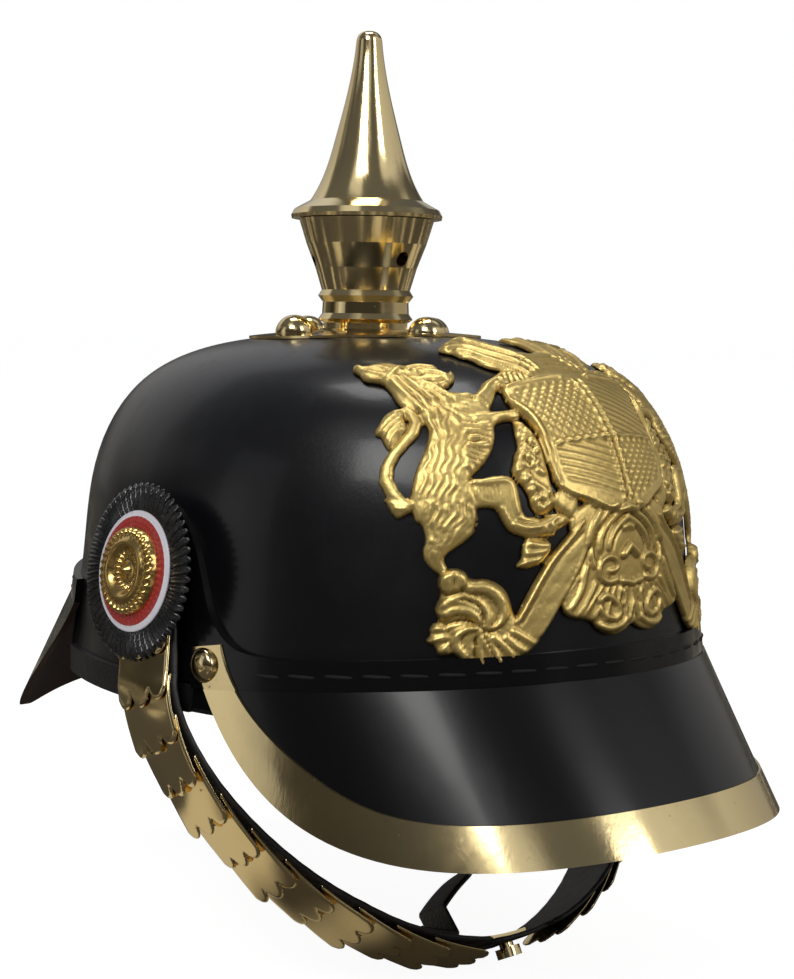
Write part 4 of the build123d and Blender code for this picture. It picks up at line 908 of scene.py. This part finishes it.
def turned_disc(name, side, radii, spokes, height_at, lift, slot, material, node, ring_at=None):
    """A round relief on the post: height_at gives mm above its back for radius and angle."""
    across = Vector((0, -1, 0))
    across = (across - STRAP_FALL * across.dot(STRAP_FALL)).normalized()
    out = across.cross(STRAP_FALL)
    flip = 1 if side == "left" else -1
    radius, angle = np.meshgrid(radii, np.arange(spokes) * 2 * math.pi / spokes, indexing="ij")
    reach, height = height_at(radius, angle)
    px, py = reach * np.cos(angle), reach * np.sin(angle)
    points = []
    for rise in (height, height * 0):
        for a, b, c in zip(px.ravel(), py.ravel(), rise.ravel()):
            place = STRAP_HEAD + across * a + STRAP_FALL * b + out * (lift + c)
            points.append((place.x * flip * MM, place.y * MM, place.z * MM))
    index = np.arange(radius.size).reshape(radius.shape)
    after = np.roll(index, -1, axis=1)
    back = radius.size
    quads = np.stack([index[:-1], index[1:], after[1:], after[:-1]], -1).reshape(-1, 4)
    rim = np.stack([index[-1], index[-1] + back, after[-1] + back, after[-1]], 1)
    hub = np.stack([index[0], after[0], after[0] + back, index[0] + back], 1)
    faces = np.concatenate([quads, quads[:, ::-1] + back, rim, hub]).tolist()
    ring = ring_at(radius, angle).ravel() if ring_at else np.zeros(radius.size)
    kept = (f"{side}_chinscales", slot, material, [f"{node}_{side}"], {"ring": np.tile(ring, 2)})
    outward(piece(f"{name}_{side}", points, faces, *kept))


def petal_height(radius, angle):
    """Narrow lacquered petals with a raised edge round each."""
    bend = angle + 0.05 * np.clip((radius - 18) / 10, 0, 1)
    share = np.abs(((bend * PETALS / (2 * math.pi)) % 1.0) - 0.5) * 2
    outer = np.clip((radius - 24.5) / 3.5, 0, 1)
    reach = radius - outer * 2.6 * share ** 2.2
    spine = np.exp(-((share - 0.55) ** 2) / 0.02)
    out = np.clip((radius - 17) / 3, 0, 1)
    height = 1.2 + out * (0.75 * spine - 0.45 * share ** 4) + 0.3 * np.cos((radius - 23) * 0.45) * out
    tip = np.clip((radius - 26.8) / 1.2, 0, 1)
    return reach, height * (1 - 0.55 * tip)


def centre_height(radius, angle):
    """Flat white ring, then a red ring with fine radial flutes."""
    flutes = 0.5 + 0.5 * np.cos(angle * 48)
    red = np.clip((RED_RADIUS - radius) / 0.6, 0, 1)
    edge = np.clip((radius - RED_RADIUS - 1.0) / 0.8, 0, 1)
    waves = 0.12 * np.cos((radius - RED_RADIUS) * 4)
    return radius, 0.9 + red * (0.35 * flutes + 0.25) - 0.5 * edge + waves


def rosette_height(radius, angle):
    """Roped rim, smooth swelling, beaded ring and a boss."""
    rope = np.exp(-((radius - 12.4) ** 2) / 1.6)
    strands = 0.5 + 0.5 * np.cos(angle * 34 + (radius - 12.4) * 1.5)
    bulge = 2.6 * np.exp(-((radius - 8.7) ** 2) / 5.5)
    beads = np.exp(-((radius - 5.2) ** 2) / 0.5) * (0.45 + 0.55 * np.cos(angle * 18))
    boss = 2.4 * np.exp(-(radius ** 2) / 3.2)
    height = 1.6 + rope * (1.1 + 0.9 * strands) + bulge + 0.9 * beads + boss
    return radius, height * np.clip((ROSETTE_RADIUS + 0.1 - radius) / 0.6, 0.25, 1)


def bands(radius, angle):
    """Paint of the rings: high on the white one, low on the red one."""
    return np.where(radius > 17.0, 0.75, 0.25)


def rows(*runs):
    """Radii in runs of first, last and count."""
    return np.concatenate([np.linspace(*run) for run in runs])


def make_cockades(petals, rings, brass):
    """On each post: lacquered petals, painted rings and the rosette that caps them."""
    outer = rows((3.4, 17, 5), (18, 24.5, 8), (25, PETALS_RADIUS, 8))
    inner = rows((3.4, 12, 5), (13, RINGS_RADIUS, 19))
    cap = rows((0.02, 6, 20), (6.3, ROSETTE_RADIUS, 34))
    discs = (
        ("petals", outer, 560, petal_height, 3.55, "cockade_black", petals, "cockade_petals"),
        ("rings", inner, 384, centre_height, 4.8, "cockade_rings", rings, "cockade_centre", bands),
        ("rosette_relief", cap, 272, rosette_height, 5.75, "brass_fittings", brass, "rosette"),
    )
    for side in SIDES:
        for name, *rest in discs:
            turned_disc(name, side, *rest)


def strap_table():
    """The chin strap's line, its reach from the post, and its length, all in mm."""
    first = STRAP_HEAD - STRAP_FALL * LINING_TOP
    bends = (STRAP_KNEE, STRAP_KNEE + STRAP_FALL * STRAP_DROP, STRAP_LOW, STRAP_MEETING)
    line = [first.lerp(STRAP_KNEE, k / 40) for k in range(40)]
    for k in range(401):
        t = k / 400
        shares = ((1 - t) ** 3, 3 * t * (1 - t) ** 2, 3 * t * t * (1 - t), t ** 3)
        line.append(sum((b * w for b, w in zip(bends, shares)), Vector()))
    points = np.array([tuple(p) for p in line])
    run = np.concatenate([[0], np.cumsum(np.linalg.norm(np.diff(points, axis=0), axis=1))])
    return points, run - LINING_TOP, run[-1] - LINING_TOP


STRAP_POINTS, STRAP_REACH, STRAP_LENGTH = strap_table()


def strap_spot(reach):
    """Places of the strap's middle line, by their distance from the post."""
    return np.stack([np.interp(reach, STRAP_REACH, STRAP_POINTS[:, k]) for k in range(3)], -1)


def along_strap(across, reach, lift):
    """Places on the chin strap: mm across it, down it from the post and out from its middle."""
    over = reach > STRAP_LENGTH
    near = np.where(over, 2 * STRAP_LENGTH - reach, reach)
    down = strap_spot(near + 1.5) - strap_spot(near - 1.5)
    down /= np.linalg.norm(down, axis=-1, keepdims=True)
    lean = STRAP_LEAN * np.clip((near / STRAP_LENGTH - 0.17) / 0.5, 0, 1)
    side = np.stack([np.zeros_like(lean), -np.cos(lean), np.sin(lean)], -1)
    side -= down * np.sum(side * down, -1, keepdims=True)
    side /= np.linalg.norm(side, axis=-1, keepdims=True)
    out = np.cross(side, down)
    place = strap_spot(near) + side * across[..., None] + out * lift[..., None]
    x = np.where(over, -place[..., 0], place[..., 0])
    return x, place[..., 1], place[..., 2]


def strap_width(reach):
    """The strap tapers from the cockade to the chin."""
    return 26.5 - 4.0 * np.clip(reach / STRAP_LENGTH, 0, 1)


def rolled(away, radius):
    """Share of a strap's half thickness left near its rounded edge."""
    return 0.25 + 0.75 * swell(away, radius)


SCALE_FIRST = -8.0
SCALE_PITCH = 14.2
SCALE_LENGTH = 21.3
SCALE_SLOPE = 0.074
# How far each scale stands off at its tip and leans to a side, from the cockade down
SCALE_TILTS = (0.01, 0.012, 0.02, 0.045, 0.06, 0.085, 0.05, 0.09, 0.06, 0.09, 0.07, 0.08, 0.05)
SCALE_ROLLS = (0.0, 0.006, 0.0, -0.048, 0.055, -0.055, 0.048, -0.048, 0.04, -0.048, 0.03, -0.03, 0.0)


def make_scale(side, k, brass):
    """One loose domed scale with three lobes."""
    head = SCALE_FIRST + SCALE_PITCH * k
    half = float(strap_width(head)) / 2

    def edge(a, r):
        share = np.abs(a) / half
        outer = 0.8 + 4.0 * np.abs((share - 0.70) / 0.34) ** 2.4
        lobe = np.where(share > 0.36, outer, 4.2 * (share / 0.36) ** 2.2)
        lobe = np.minimum(lobe, 4.4 + 3.0 * np.clip(share - 0.9, 0, 1))
        return np.maximum(np.maximum(np.abs(a) - half, r - (head + SCALE_LENGTH - lobe)), head - 1.5 - r)

    def low(a, r, away):
        down = r - head
        loose = SCALE_TILTS[k] * np.maximum(down, 0)
        dome = 0.75 * (1 - (a / half) ** 2)
        flare = 0.35 * np.clip((down - 12) / 9, 0, 1) ** 2
        roll = SCALE_ROLLS[k] * a * np.clip(down / 21, 0, 1)
        return 1.0 + SCALE_SLOPE * down + loose + dome + flare + roll

    def top(a, r, away):
        return low(a, r, away) + 0.15 + 0.65 * swell(away, 0.8)

    name = f"scale_{side}_{k + 1:02d}"
    grid = (np.linspace(-half - 1.0, half + 1.0, 41), np.linspace(head - 2.5, head + 22.5, 37))
    ride = (f"{side}_chinscales", "scale_brass", brass, [name])
    panel(f"{name}_plate", *grid, edge, along_strap, top, low, *ride, side == "right")


def make_chin_scales(brass):
    """The scales of both straps, overlapping like tiles."""
    for side in SIDES:
        for k in range(len(SCALE_TILTS)):
            make_scale(side, k, brass)


STRAP_GRID = 0.8
BACKING_STOP = STRAP_LENGTH - 16.0
TONGUE_LENGTH = 15.0
TONGUE_HALF = 9.5


def make_lining(side, leather):
    """The leather under one row of scales. The left one ends in a tongue with a slit."""
    left = side == "left"
    last = STRAP_LENGTH + TONGUE_LENGTH if left else BACKING_STOP

    def edge(a, r):
        half = strap_width(r) / 2 + 1.5
        if left:
            taper = half + (TONGUE_HALF - half) * np.clip((r - BACKING_STOP) / 4, 0, 1)
            half = np.where(r > BACKING_STOP + 4, TONGUE_HALF, taper)
        body = np.maximum(np.abs(a) - half, np.maximum(-LINING_TOP - r, r - last))
        top_round = np.hypot(a, r - 2.5) - 15.6
        body = np.where(r < 0, np.maximum(body, top_round), body)
        if left:
            tip = np.hypot(a, r - (last - TONGUE_HALF)) - TONGUE_HALF
            body = np.where(r > last - TONGUE_HALF, np.maximum(body, tip), body)
            slit = np.hypot(a, np.maximum(np.abs(r - STRAP_LENGTH - 3.0) - 3.2, 0)) - 2.8
            body = np.maximum(body, -slit)
        return np.maximum(body, 2.3 - np.hypot(a, r))

    def crease(a, r):
        return 0.036 * np.sin(r * 0.9 + np.sin(a * 0.4) * 2)

    def top(a, r, away):
        return HALF_THICK * rolled(away, 0.9) + crease(a, r)

    def low(a, r, away):
        return crease(a, r) - HALF_THICK * rolled(away, 0.9) - 0.15

    grid = (np.arange(-16.4, 16.41, STRAP_GRID), np.arange(-14.0, last + 1.6, STRAP_GRID))
    ride = (f"{side}_chinscales", "strap_leather", leather, [f"scale_backing_{side}"])
    panel(f"lining_{side}", *grid, edge, along_strap, top, low, *ride, side == "right")


ADJUSTER_BEND = Vector((-24.0, -58.0, -72.5))
ADJUSTER_TIP = Vector((-4.0, -52.5, -63.5))
ADJUSTER_HELD = STRAP_LENGTH + 25.0
ADJUSTER_END = ADJUSTER_HELD + 15.0
ADJUSTER_LIFT = -2.95
ADJUSTER_HALF = 7.5
ADJUSTER_SAG = 1.2


def make_adjuster(leather):
    """The plain strap: held under the right strap's end, then loose up to its tip."""

    def held_place(across):
        spot = along_strap(np.array([across]), np.array([ADJUSTER_HELD]), np.array([ADJUSTER_LIFT]))
        return Vector([float(part[0]) for part in spot])

    start = held_place(0.0)
    wide = (held_place(1.0) - start).normalized()
    last = (ADJUSTER_TIP - ADJUSTER_BEND).normalized()
    up = last.cross(wide).normalized() * -1
    knots = np.array([start, ADJUSTER_BEND, ADJUSTER_TIP])
    lengths = np.concatenate([[0.0], np.cumsum(np.linalg.norm(np.diff(knots, axis=0), axis=1))])
    far = ADJUSTER_HELD - lengths[2]

    def place(a, r, h):
        held = along_strap(a, np.maximum(r, ADJUSTER_HELD), ADJUSTER_LIFT + h)
        run = np.clip(ADJUSTER_HELD - r, 0, lengths[2])
        sag = ADJUSTER_SAG * np.sin(run / lengths[2] * math.pi)
        loose = [np.interp(run, lengths, knots[:, k]) + wide[k] * a + up[k] * (h + sag) for k in range(3)]
        return tuple(np.where(r > ADJUSTER_HELD, *pair) for pair in zip(held, loose))

    def edge(a, r):
        body = np.maximum(np.abs(a) - ADJUSTER_HALF, r - ADJUSTER_END)
        tip = np.hypot(a, r - far - ADJUSTER_HALF) - ADJUSTER_HALF
        return np.maximum(body, np.where(r < far + ADJUSTER_HALF, tip, far - r))

    def top(a, r, away):
        return HALF_THICK * rolled(away, 0.9)

    def low(a, r, away):
        return -HALF_THICK * rolled(away, 0.9)

    grid = (np.arange(-8.4, 8.41, STRAP_GRID), np.arange(far - 1.0, ADJUSTER_END + 1.6, STRAP_GRID))
    ride = ("right_chinscales", "strap_leather", leather, ["adjuster_strap"])
    panel("adjuster", *grid, edge, place, top, low, *ride)


# The liner

# The liner follows the crown's outline at these shares of its width and height
LINER_WIDTH_SHARE = 87.0 / 94.0
LINER_HEIGHT_SHARE = 91.3 / 115.8
LINER_TONGUES = 9
LINER_BAND = 38.0
LINER_HOLE = 24.5
LINER_SLIT = 2.5


def make_liner(leather):
    """A head band that rises into tongues round the crown's hole."""
    angles = np.radians(CROWN_ANGLES)
    across = np.array(CROWN_REACH) * np.cos(angles) * LINER_WIDTH_SHARE
    height = np.array(CROWN_REACH) * np.sin(angles) * LINER_HEIGHT_SHARE
    run = np.concatenate([[0], np.cumsum(np.hypot(np.diff(across), np.diff(height)))])
    slope = np.arctan2(np.gradient(height, run), np.gradient(across, run))

    def lay(turn, reach, lift):
        way = np.interp(reach, run, slope) - math.pi / 2
        wide = np.interp(reach, run, across) + lift * np.cos(way)
        up = np.interp(reach, run, height) + lift * np.sin(way)
        return wide * np.cos(turn), wide * STRETCH * np.sin(turn), up

    def edge(turn, reach):
        wide, up = np.interp(reach, run, across), np.interp(reach, run, height)
        x, y = wide * np.cos(turn), wide * STRETCH * np.sin(turn)
        gap = np.full(turn.shape, FAR)
        for k in range(LINER_TONGUES):
            bearing = math.radians(-90 + 360 * k / LINER_TONGUES)
            ahead = x * math.cos(bearing) + y * math.sin(bearing)
            aside = np.abs(-x * math.sin(bearing) + y * math.cos(bearing))
            slit = np.where(ahead > 0, aside - LINER_SLIT, FAR)
            gap = np.minimum(gap, np.maximum(slit, LINER_BAND - up))
        ends = np.maximum(0.6 - reach, reach - run[-1] + 2)
        return np.maximum(np.maximum(-gap, LINER_HOLE - np.hypot(x, y)), ends)

    def middle(turn, reach):
        folds = 0.175 * np.sin(turn * LINER_TONGUES + 1.0) * np.clip(reach / 60, 0, 1)
        return folds + 0.075 * np.sin(reach * 0.35 + 3 * np.sin(turn * 4)) - 1.3

    def top(turn, reach, away):
        return middle(turn, reach) + 0.85 * rolled(away, 1.0)

    def low(turn, reach, away):
        return middle(turn, reach) - 0.85 * rolled(away, 1.0)

    grid = (np.linspace(math.radians(-90), math.radians(270), 721), np.arange(0.0, run[-1], 1.0))
    panel("liner_tongues", *grid, edge, lay, top, low, "helmet", "liner_leather", leather, ["liner"])


# The seams

# Half width of the skull's side by height, in mm
SHELL_HEIGHTS = (0, 5, 8, 12, 20, 30, 40)
SHELL_REACHES = (100.4, 99.8, 99.44, 98.94, 97.96, 96.79, 95.78)
STITCH_STEPS = 9
STITCH_SIDES = 8
STITCH_REACH = 105.0
STITCH_LIFT = 2.0
STITCH_ARCH = 0.6
# Seams: spread in degrees, height at the side, rise at the middle, rows above it, thread thickness
FRONT_SEAM = (128.0, 9.0, 9.36, (0.0,), 1.0)
REAR_SEAM = (104.0, 19.0, 5.016, (2.4, 5.6), 0.7)


def side_point(turn, height, lift):
    """A point by the shell's side at a plan angle and a height, lift mm outside the skull."""
    reach = np.interp(height, SHELL_HEIGHTS, SHELL_REACHES) + lift
    return Vector((reach * math.cos(turn), reach * STRETCH * math.sin(turn), height))


def seam_stitches():
    """Plan angle, height and thickness of every stitch: one row in front, two behind."""
    given = settings()
    seams = ((-90.0, given.front_stitches, FRONT_SEAM), (90.0, given.rear_stitches, REAR_SEAM))
    for bearing, stitches, (spread, side, rise, seam_rows, thick) in seams:
        for k in range(stitches):
            off = (k - (stitches - 1) / 2) * spread / (stitches - 1)
            for row in seam_rows:
                height = side + rise * math.cos(math.radians(off)) + row
                yield math.radians(bearing + off), height, thick


def make_stitches(material):
    """Thick hand stitches along the seams, each a short curved run of thread."""
    points, faces = [], []
    span = settings().stitch_length / MM / STITCH_REACH
    spokes = [2 * math.pi * s / STITCH_SIDES for s in range(STITCH_SIDES)]
    for turn, height, thick in seam_stitches():
        start = len(points)
        for i in range(STITCH_STEPS):
            share = i / (STITCH_STEPS - 1)
            here = turn + (share - 0.5) * span
            rise = math.sin(share * math.pi) ** 0.5
            centre = side_point(here, height, STITCH_LIFT + rise * STITCH_ARCH * thick)
            out = Vector((math.cos(here), math.sin(here) / STRETCH, 0)).normalized()
            size = thick * 0.5 * (0.35 + 0.65 * rise)
            for roll in spokes:
                upward = Vector((0, 0, 1.2 * math.sin(roll)))
                points.append((centre + (out * math.cos(roll) + upward) * size) * MM)
        for i in range(STITCH_STEPS - 1):
            low = start + i * STITCH_SIDES
            high = low + STITCH_SIDES
            for s in range(STITCH_SIDES):
                n = (s + 1) % STITCH_SIDES
                faces.append([low + s, low + n, high + n, high + s])
        faces.append([start + s for s in range(STITCH_SIDES)])
        faces.append([len(points) - 1 - s for s in range(STITCH_SIDES)])
    outward(piece("seam_stitches", points, faces, "helmet", "visor_leather", material))


# The stage

FLOOR_GAP = 0.002
FLOOR_REACH = 40.0
FLOOR_GLOW = 1.34
LAMP_TARGET = Vector((0, 0, 0.06))
# Lamps: name, place and size in metres, power in watts, colour
LAMPS = (
    ("window", (-1.5, -0.9, 1.5), (0.9, 0.9), 17.0, (1.0, 0.99, 0.97)),
    ("front_panel", (0.25, -1.7, 0.95), (0.5, 0.7), 5.0, (1.0, 0.99, 0.97)),
    ("left_panel", (-1.6, 0.5, 0.4), (0.6, 1.2), 0.8, (0.95, 0.97, 1.0)),
    ("top_panel", (0.1, 0.2, 1.6), (0.8, 0.5), 7.0, (1.0, 1.0, 1.0)),
)
WHITE = (1.0, 1.0, 1.0)


def make_floor(scene):
    """A pale floor that brass mirrors as dark, blotched ground."""
    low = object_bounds()[0][2] - FLOOR_GAP
    corners = [(x * FLOOR_REACH, y * FLOOR_REACH, low) for x, y in ((-1, -1), (1, -1), (1, 1), (-1, 1))]
    mesh = bpy.data.meshes.new("floor")
    mesh.from_pydata(corners, [], [(0, 1, 2, 3)])
    floor = bpy.data.objects.new("floor", mesh)
    scene.collection.objects.link(floor)
    floor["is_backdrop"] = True
    paint = Paint("pale_floor")
    plain = paint.node("ShaderNodeBsdfDiffuse", {}, {"Color": (*settings().floor_colour, 1.0)})
    white = paint.glow("ShaderNodeEmission", WHITE, FLOOR_GLOW)
    blots = paint.noise(7.0, 2.0, 0.5).between(0.54, 0.62)
    ground = paint.glow("ShaderNodeEmission", paint.mix(blots, (0.02, 0.015, 0.009), (0.55, 0.5, 0.4)))
    mirrored = paint.blend(paint.ray("Is Glossy Ray") * 0.9, plain, ground)
    seen = paint.blend(paint.ray("Is Camera Ray") * 0.7, mirrored, white)
    paint.node("ShaderNodeOutputMaterial", {}, {"Surface": seen})
    mesh.materials.append(paint.material)


def make_room(scene):
    """Light from all round: bright above with soft patches, darker below, white to the camera."""
    sky = Paint("studio", "worlds", "Generated")
    patches = sky.noise(1.5, 1.2, 0.4).between(0.46, 0.60)
    below = sky.mix(patches, (0.035, 0.03, 0.024), (0.42, 0.40, 0.36))
    above = sky.mix(patches, (0.16, 0.165, 0.175), (0.9, 0.91, 0.94))
    room = sky.mix(sky.axis(2).between(-0.08, 0.8), below, above)
    lit = sky.glow("ShaderNodeBackground", room, settings().room_light)
    clear = sky.glow("ShaderNodeBackground", WHITE)
    shown = sky.blend(sky.ray("Is Camera Ray"), lit, clear)
    sky.node("ShaderNodeOutputWorld", {}, {"Surface": shown})
    scene.world = sky.material


def make_lamps(scene):
    """Soft rectangular lamps that face the helmet."""
    for name, place, size, power, colour in LAMPS:
        lamp = bpy.data.lights.new(name, "AREA")
        lamp.shape = "RECTANGLE"
        lamp.size, lamp.size_y = size
        lamp.energy = power * settings().lamp_strength
        lamp.color = colour
        holder = bpy.data.objects.new(name, lamp)
        holder.location = place
        holder.rotation_euler = (Vector(place) - LAMP_TARGET).to_track_quat("Z", "Y").to_euler()
        scene.collection.objects.link(holder)


def make_camera(scene):
    """The camera at the photograph's angle."""
    view = bpy.data.cameras.new("camera")
    view.lens = settings().lens
    view.sensor_width = CAMERA_SENSOR
    view.clip_start = 0.01
    eye = bpy.data.objects.new("camera", view)
    back = CAMERA_RIGHT.cross(CAMERA_UP).normalized()
    turn = Matrix((CAMERA_RIGHT, CAMERA_UP, back)).transposed().to_4x4()
    turn.translation = CAMERA_PLACE
    eye.matrix_world = turn
    scene.collection.objects.link(eye)
    scene.camera = eye
    scene.view_settings.view_transform = "Standard"


# Operators


def colour(name, note, default):
    limits = {"size": 3, "min": 0, "max": 1}
    return bpy.props.FloatVectorProperty(
        name=name, description=note, subtype="COLOR", default=default, **limits)


def number(name, note, default, low, high, **kind):
    return bpy.props.FloatProperty(name=name, description=note, default=default, min=low, max=high, **kind)


def length(name, note, default, low, high, digits):
    kind = {"unit": "LENGTH", "subtype": "DISTANCE", "precision": digits}
    return number(name, note, default, low, high, **kind)


def count(name, note, default):
    return bpy.props.IntProperty(name=name, description=note, default=default, min=5, max=60)


class HELMET_PG_dressing(bpy.types.PropertyGroup):
    """Sizes and colours of the helmet's dressing."""

    shell_colour: colour("Shell", "Lacquered leather of the shell", (0.004, 0.004, 0.005))
    shell_bloom: colour("Shell bloom", "Soft haze on the shell", (0.008, 0.009, 0.012))
    visor_colour: colour("Visor", "Patent leather of the visors", (0.0035, 0.0035, 0.004))
    visor_under: colour("Visor underside", "Leather below the visors", (0.055, 0.03, 0.018))
    brass_colour: colour("Brass", "Polished brass", (0.87, 0.70, 0.37))
    brass_aged: colour("Aged brass", "Duller brass between the polished parts", (0.64, 0.47, 0.19))
    plate_colour: colour("Plate", "Gilt of the front plate", (0.88, 0.67, 0.25))
    cockade_red: colour("Red ring", "Red ring of the cockades", (0.40, 0.028, 0.022))
    cockade_white: colour("White ring", "White ring of the cockades", (0.78, 0.76, 0.82))
    liner_colour: colour("Liner", "Leather inside the shell", (0.17, 0.085, 0.035))
    relief_height: number("Relief", "How strongly the plate is stamped", 0.85, 0.2, 1.5)
    relief_pitch: length("Relief detail", "Spacing of the relief's points", 0.0005, 0.0003, 0.002, 5)
    stitch_length: length("Stitch length", "Length of one stitch", 0.0095, 0.003, 0.02, 4)
    front_stitches: count("Front stitches", "Stitches along the front visor's seam", 23)
    rear_stitches: count("Rear stitches", "Stitches along the rear visor's seam", 19)
    floor_colour: colour("Floor", "Pale floor", (0.8, 0.8, 0.8))
    room_light: number("Room light", "Even light from all round", 0.75, 0, 3)
    lamp_strength: number("Lamps", "Strength of the studio lamps", 1.0, 0, 5)
    lens: number("Lens", "Focal length", CAMERA_LENS, 20, 200, unit="CAMERA")


BRASS_NODES = (
    "visor_trim", "trim_rivets", "spike_base", "base_studs", "base_stud_nuts", "spike_neck", "spike_cone",
    "spike_screw", "plate_loops", "plate_pins", "side_posts", "side_nuts", "chin_tab", "chin_button",
)


class HELMET_OT_shell(bpy.types.Operator):
    """Lacquered leather on the shell and its folded edge"""

    bl_idname = "helmet.shell"
    bl_label = "Shell"

    def execute(self, context):
        given = settings()
        lacquer = lacquered_leather("shell_leather", given.shell_colour, given.shell_bloom, 0.3, 0.22)
        clad(["skull_shell"], lacquer)
        folded = soft_leather("binding_leather", (0.008, 0.008, 0.009), (0.025, 0.024, 0.024), 0.38, 900.0)
        clad(["rim_binding"], folded)
        return {"FINISHED"}


class HELMET_OT_visors(bpy.types.Operator):
    """Patent leather on the two visors"""

    bl_idname = "helmet.visors"
    bl_label = "Visors"

    def execute(self, context):
        given = settings()
        patent = patent_leather("visor_leather", given.visor_colour, given.visor_under, 0.23, 0.25)
        clad(["front_visor", "rear_visor"], patent)
        return {"FINISHED"}


class HELMET_OT_fittings(bpy.types.Operator):
    """Polished brass on the trim, the spike and the small fittings"""

    bl_idname = "helmet.fittings"
    bl_label = "Brass fittings"

    def execute(self, context):
        given = settings()
        clad(BRASS_NODES, polished_brass("polished_brass", given.brass_colour, given.brass_aged, 0.09, 0.5))
        return {"FINISHED"}


class HELMET_OT_plate(bpy.types.Operator):
    """The stamped front plate"""

    bl_idname = "helmet.plate"
    bl_label = "Front plate"

    def execute(self, context):
        make_front_plate(gilt_relief("plate_gilt", settings().plate_colour, (0.44, 0.29, 0.09), 0.36))
        return {"FINISHED"}


class HELMET_OT_cockades(bpy.types.Operator):
    """Cockades and rosettes on both sides"""

    bl_idname = "helmet.cockades"
    bl_label = "Cockades"

    def execute(self, context):
        given = settings()
        petals = painted("cockade_lacquer", [(0.006, 0.006, 0.007), (0.006, 0.006, 0.007)], 0.22, 0.5)
        rings = painted("cockade_paint", [tuple(given.cockade_red), tuple(given.cockade_white)], 0.3, 0.3)
        button = polished_brass("rosette_brass", (0.72, 0.49, 0.17), (0.4, 0.23, 0.07), 0.2, 0.6)
        make_cockades(petals, rings, button)
        return {"FINISHED"}


class HELMET_OT_chin_scales(bpy.types.Operator):
    """Brass scales, their linings and the chin fastening"""

    bl_idname = "helmet.chin_scales"
    bl_label = "Chin scales"

    def execute(self, context):
        given = settings()
        make_chin_scales(polished_brass("scale_brass", given.brass_colour, given.brass_aged, 0.11, 0.7))
        strap = soft_leather("strap_leather", (0.009, 0.008, 0.008), (0.03, 0.027, 0.025), 0.42, 1100.0)
        for side in SIDES:
            make_lining(side, strap)
        make_adjuster(strap)
        return {"FINISHED"}


class HELMET_OT_liner(bpy.types.Operator):
    """Leather head band and tongues inside the shell"""

    bl_idname = "helmet.liner"
    bl_label = "Liner"

    def execute(self, context):
        given = settings()
        worn = tuple(min(1.0, c * 1.9) for c in given.liner_colour)
        make_liner(soft_leather("liner_leather", tuple(given.liner_colour), worn, 0.5, 800.0))
        return {"FINISHED"}


class HELMET_OT_stitches(bpy.types.Operator):
    """Hand stitching along the visor seams"""

    bl_idname = "helmet.stitches"
    bl_label = "Stitches"

    def execute(self, context):
        make_stitches(thread_finish("black_thread", (0.004, 0.004, 0.004)))
        return {"FINISHED"}


class HELMET_OT_stage(bpy.types.Operator):
    """Floor, lamps and camera"""

    bl_idname = "helmet.stage"
    bl_label = "Stage"

    def execute(self, context):
        for make in (make_floor, make_room, make_lamps, make_camera):
            make(context.scene)
        return {"FINISHED"}


OPERATORS = (
    HELMET_OT_shell,
    HELMET_OT_visors,
    HELMET_OT_fittings,
    HELMET_OT_plate,
    HELMET_OT_cockades,
    HELMET_OT_chin_scales,
    HELMET_OT_liner,
    HELMET_OT_stitches,
    HELMET_OT_stage,
)


class HELMET_PT_panel(bpy.types.Panel):
    """Lists the helmet's pieces"""

    bl_idname = "HELMET_PT_panel"
    bl_label = "Spiked helmet"
    bl_space_type = "VIEW_3D"
    bl_region_type = "UI"
    bl_category = "Helmet"

    def draw(self, context):
        given = context.scene.helmet_dressing
        for name in given.bl_rna.properties.keys():
            if name not in ("rna_type", "name"):
                self.layout.prop(given, name)
        for operator in OPERATORS:
            self.layout.operator(operator.bl_idname)


CLASSES = (HELMET_PG_dressing, *OPERATORS, HELMET_PT_panel)


def register():
    for made in CLASSES:
        bpy.utils.register_class(made)
    bpy.types.Scene.helmet_dressing = bpy.props.PointerProperty(type=HELMET_PG_dressing)


def unregister():
    del bpy.types.Scene.helmet_dressing
    for made in reversed(CLASSES):
        bpy.utils.unregister_class(made)


def main():
    register()
    for operator in OPERATORS:
        group, name = operator.bl_idname.split(".")
        getattr(getattr(bpy.ops, group), name)()


if __name__ == "__main__":
    main()
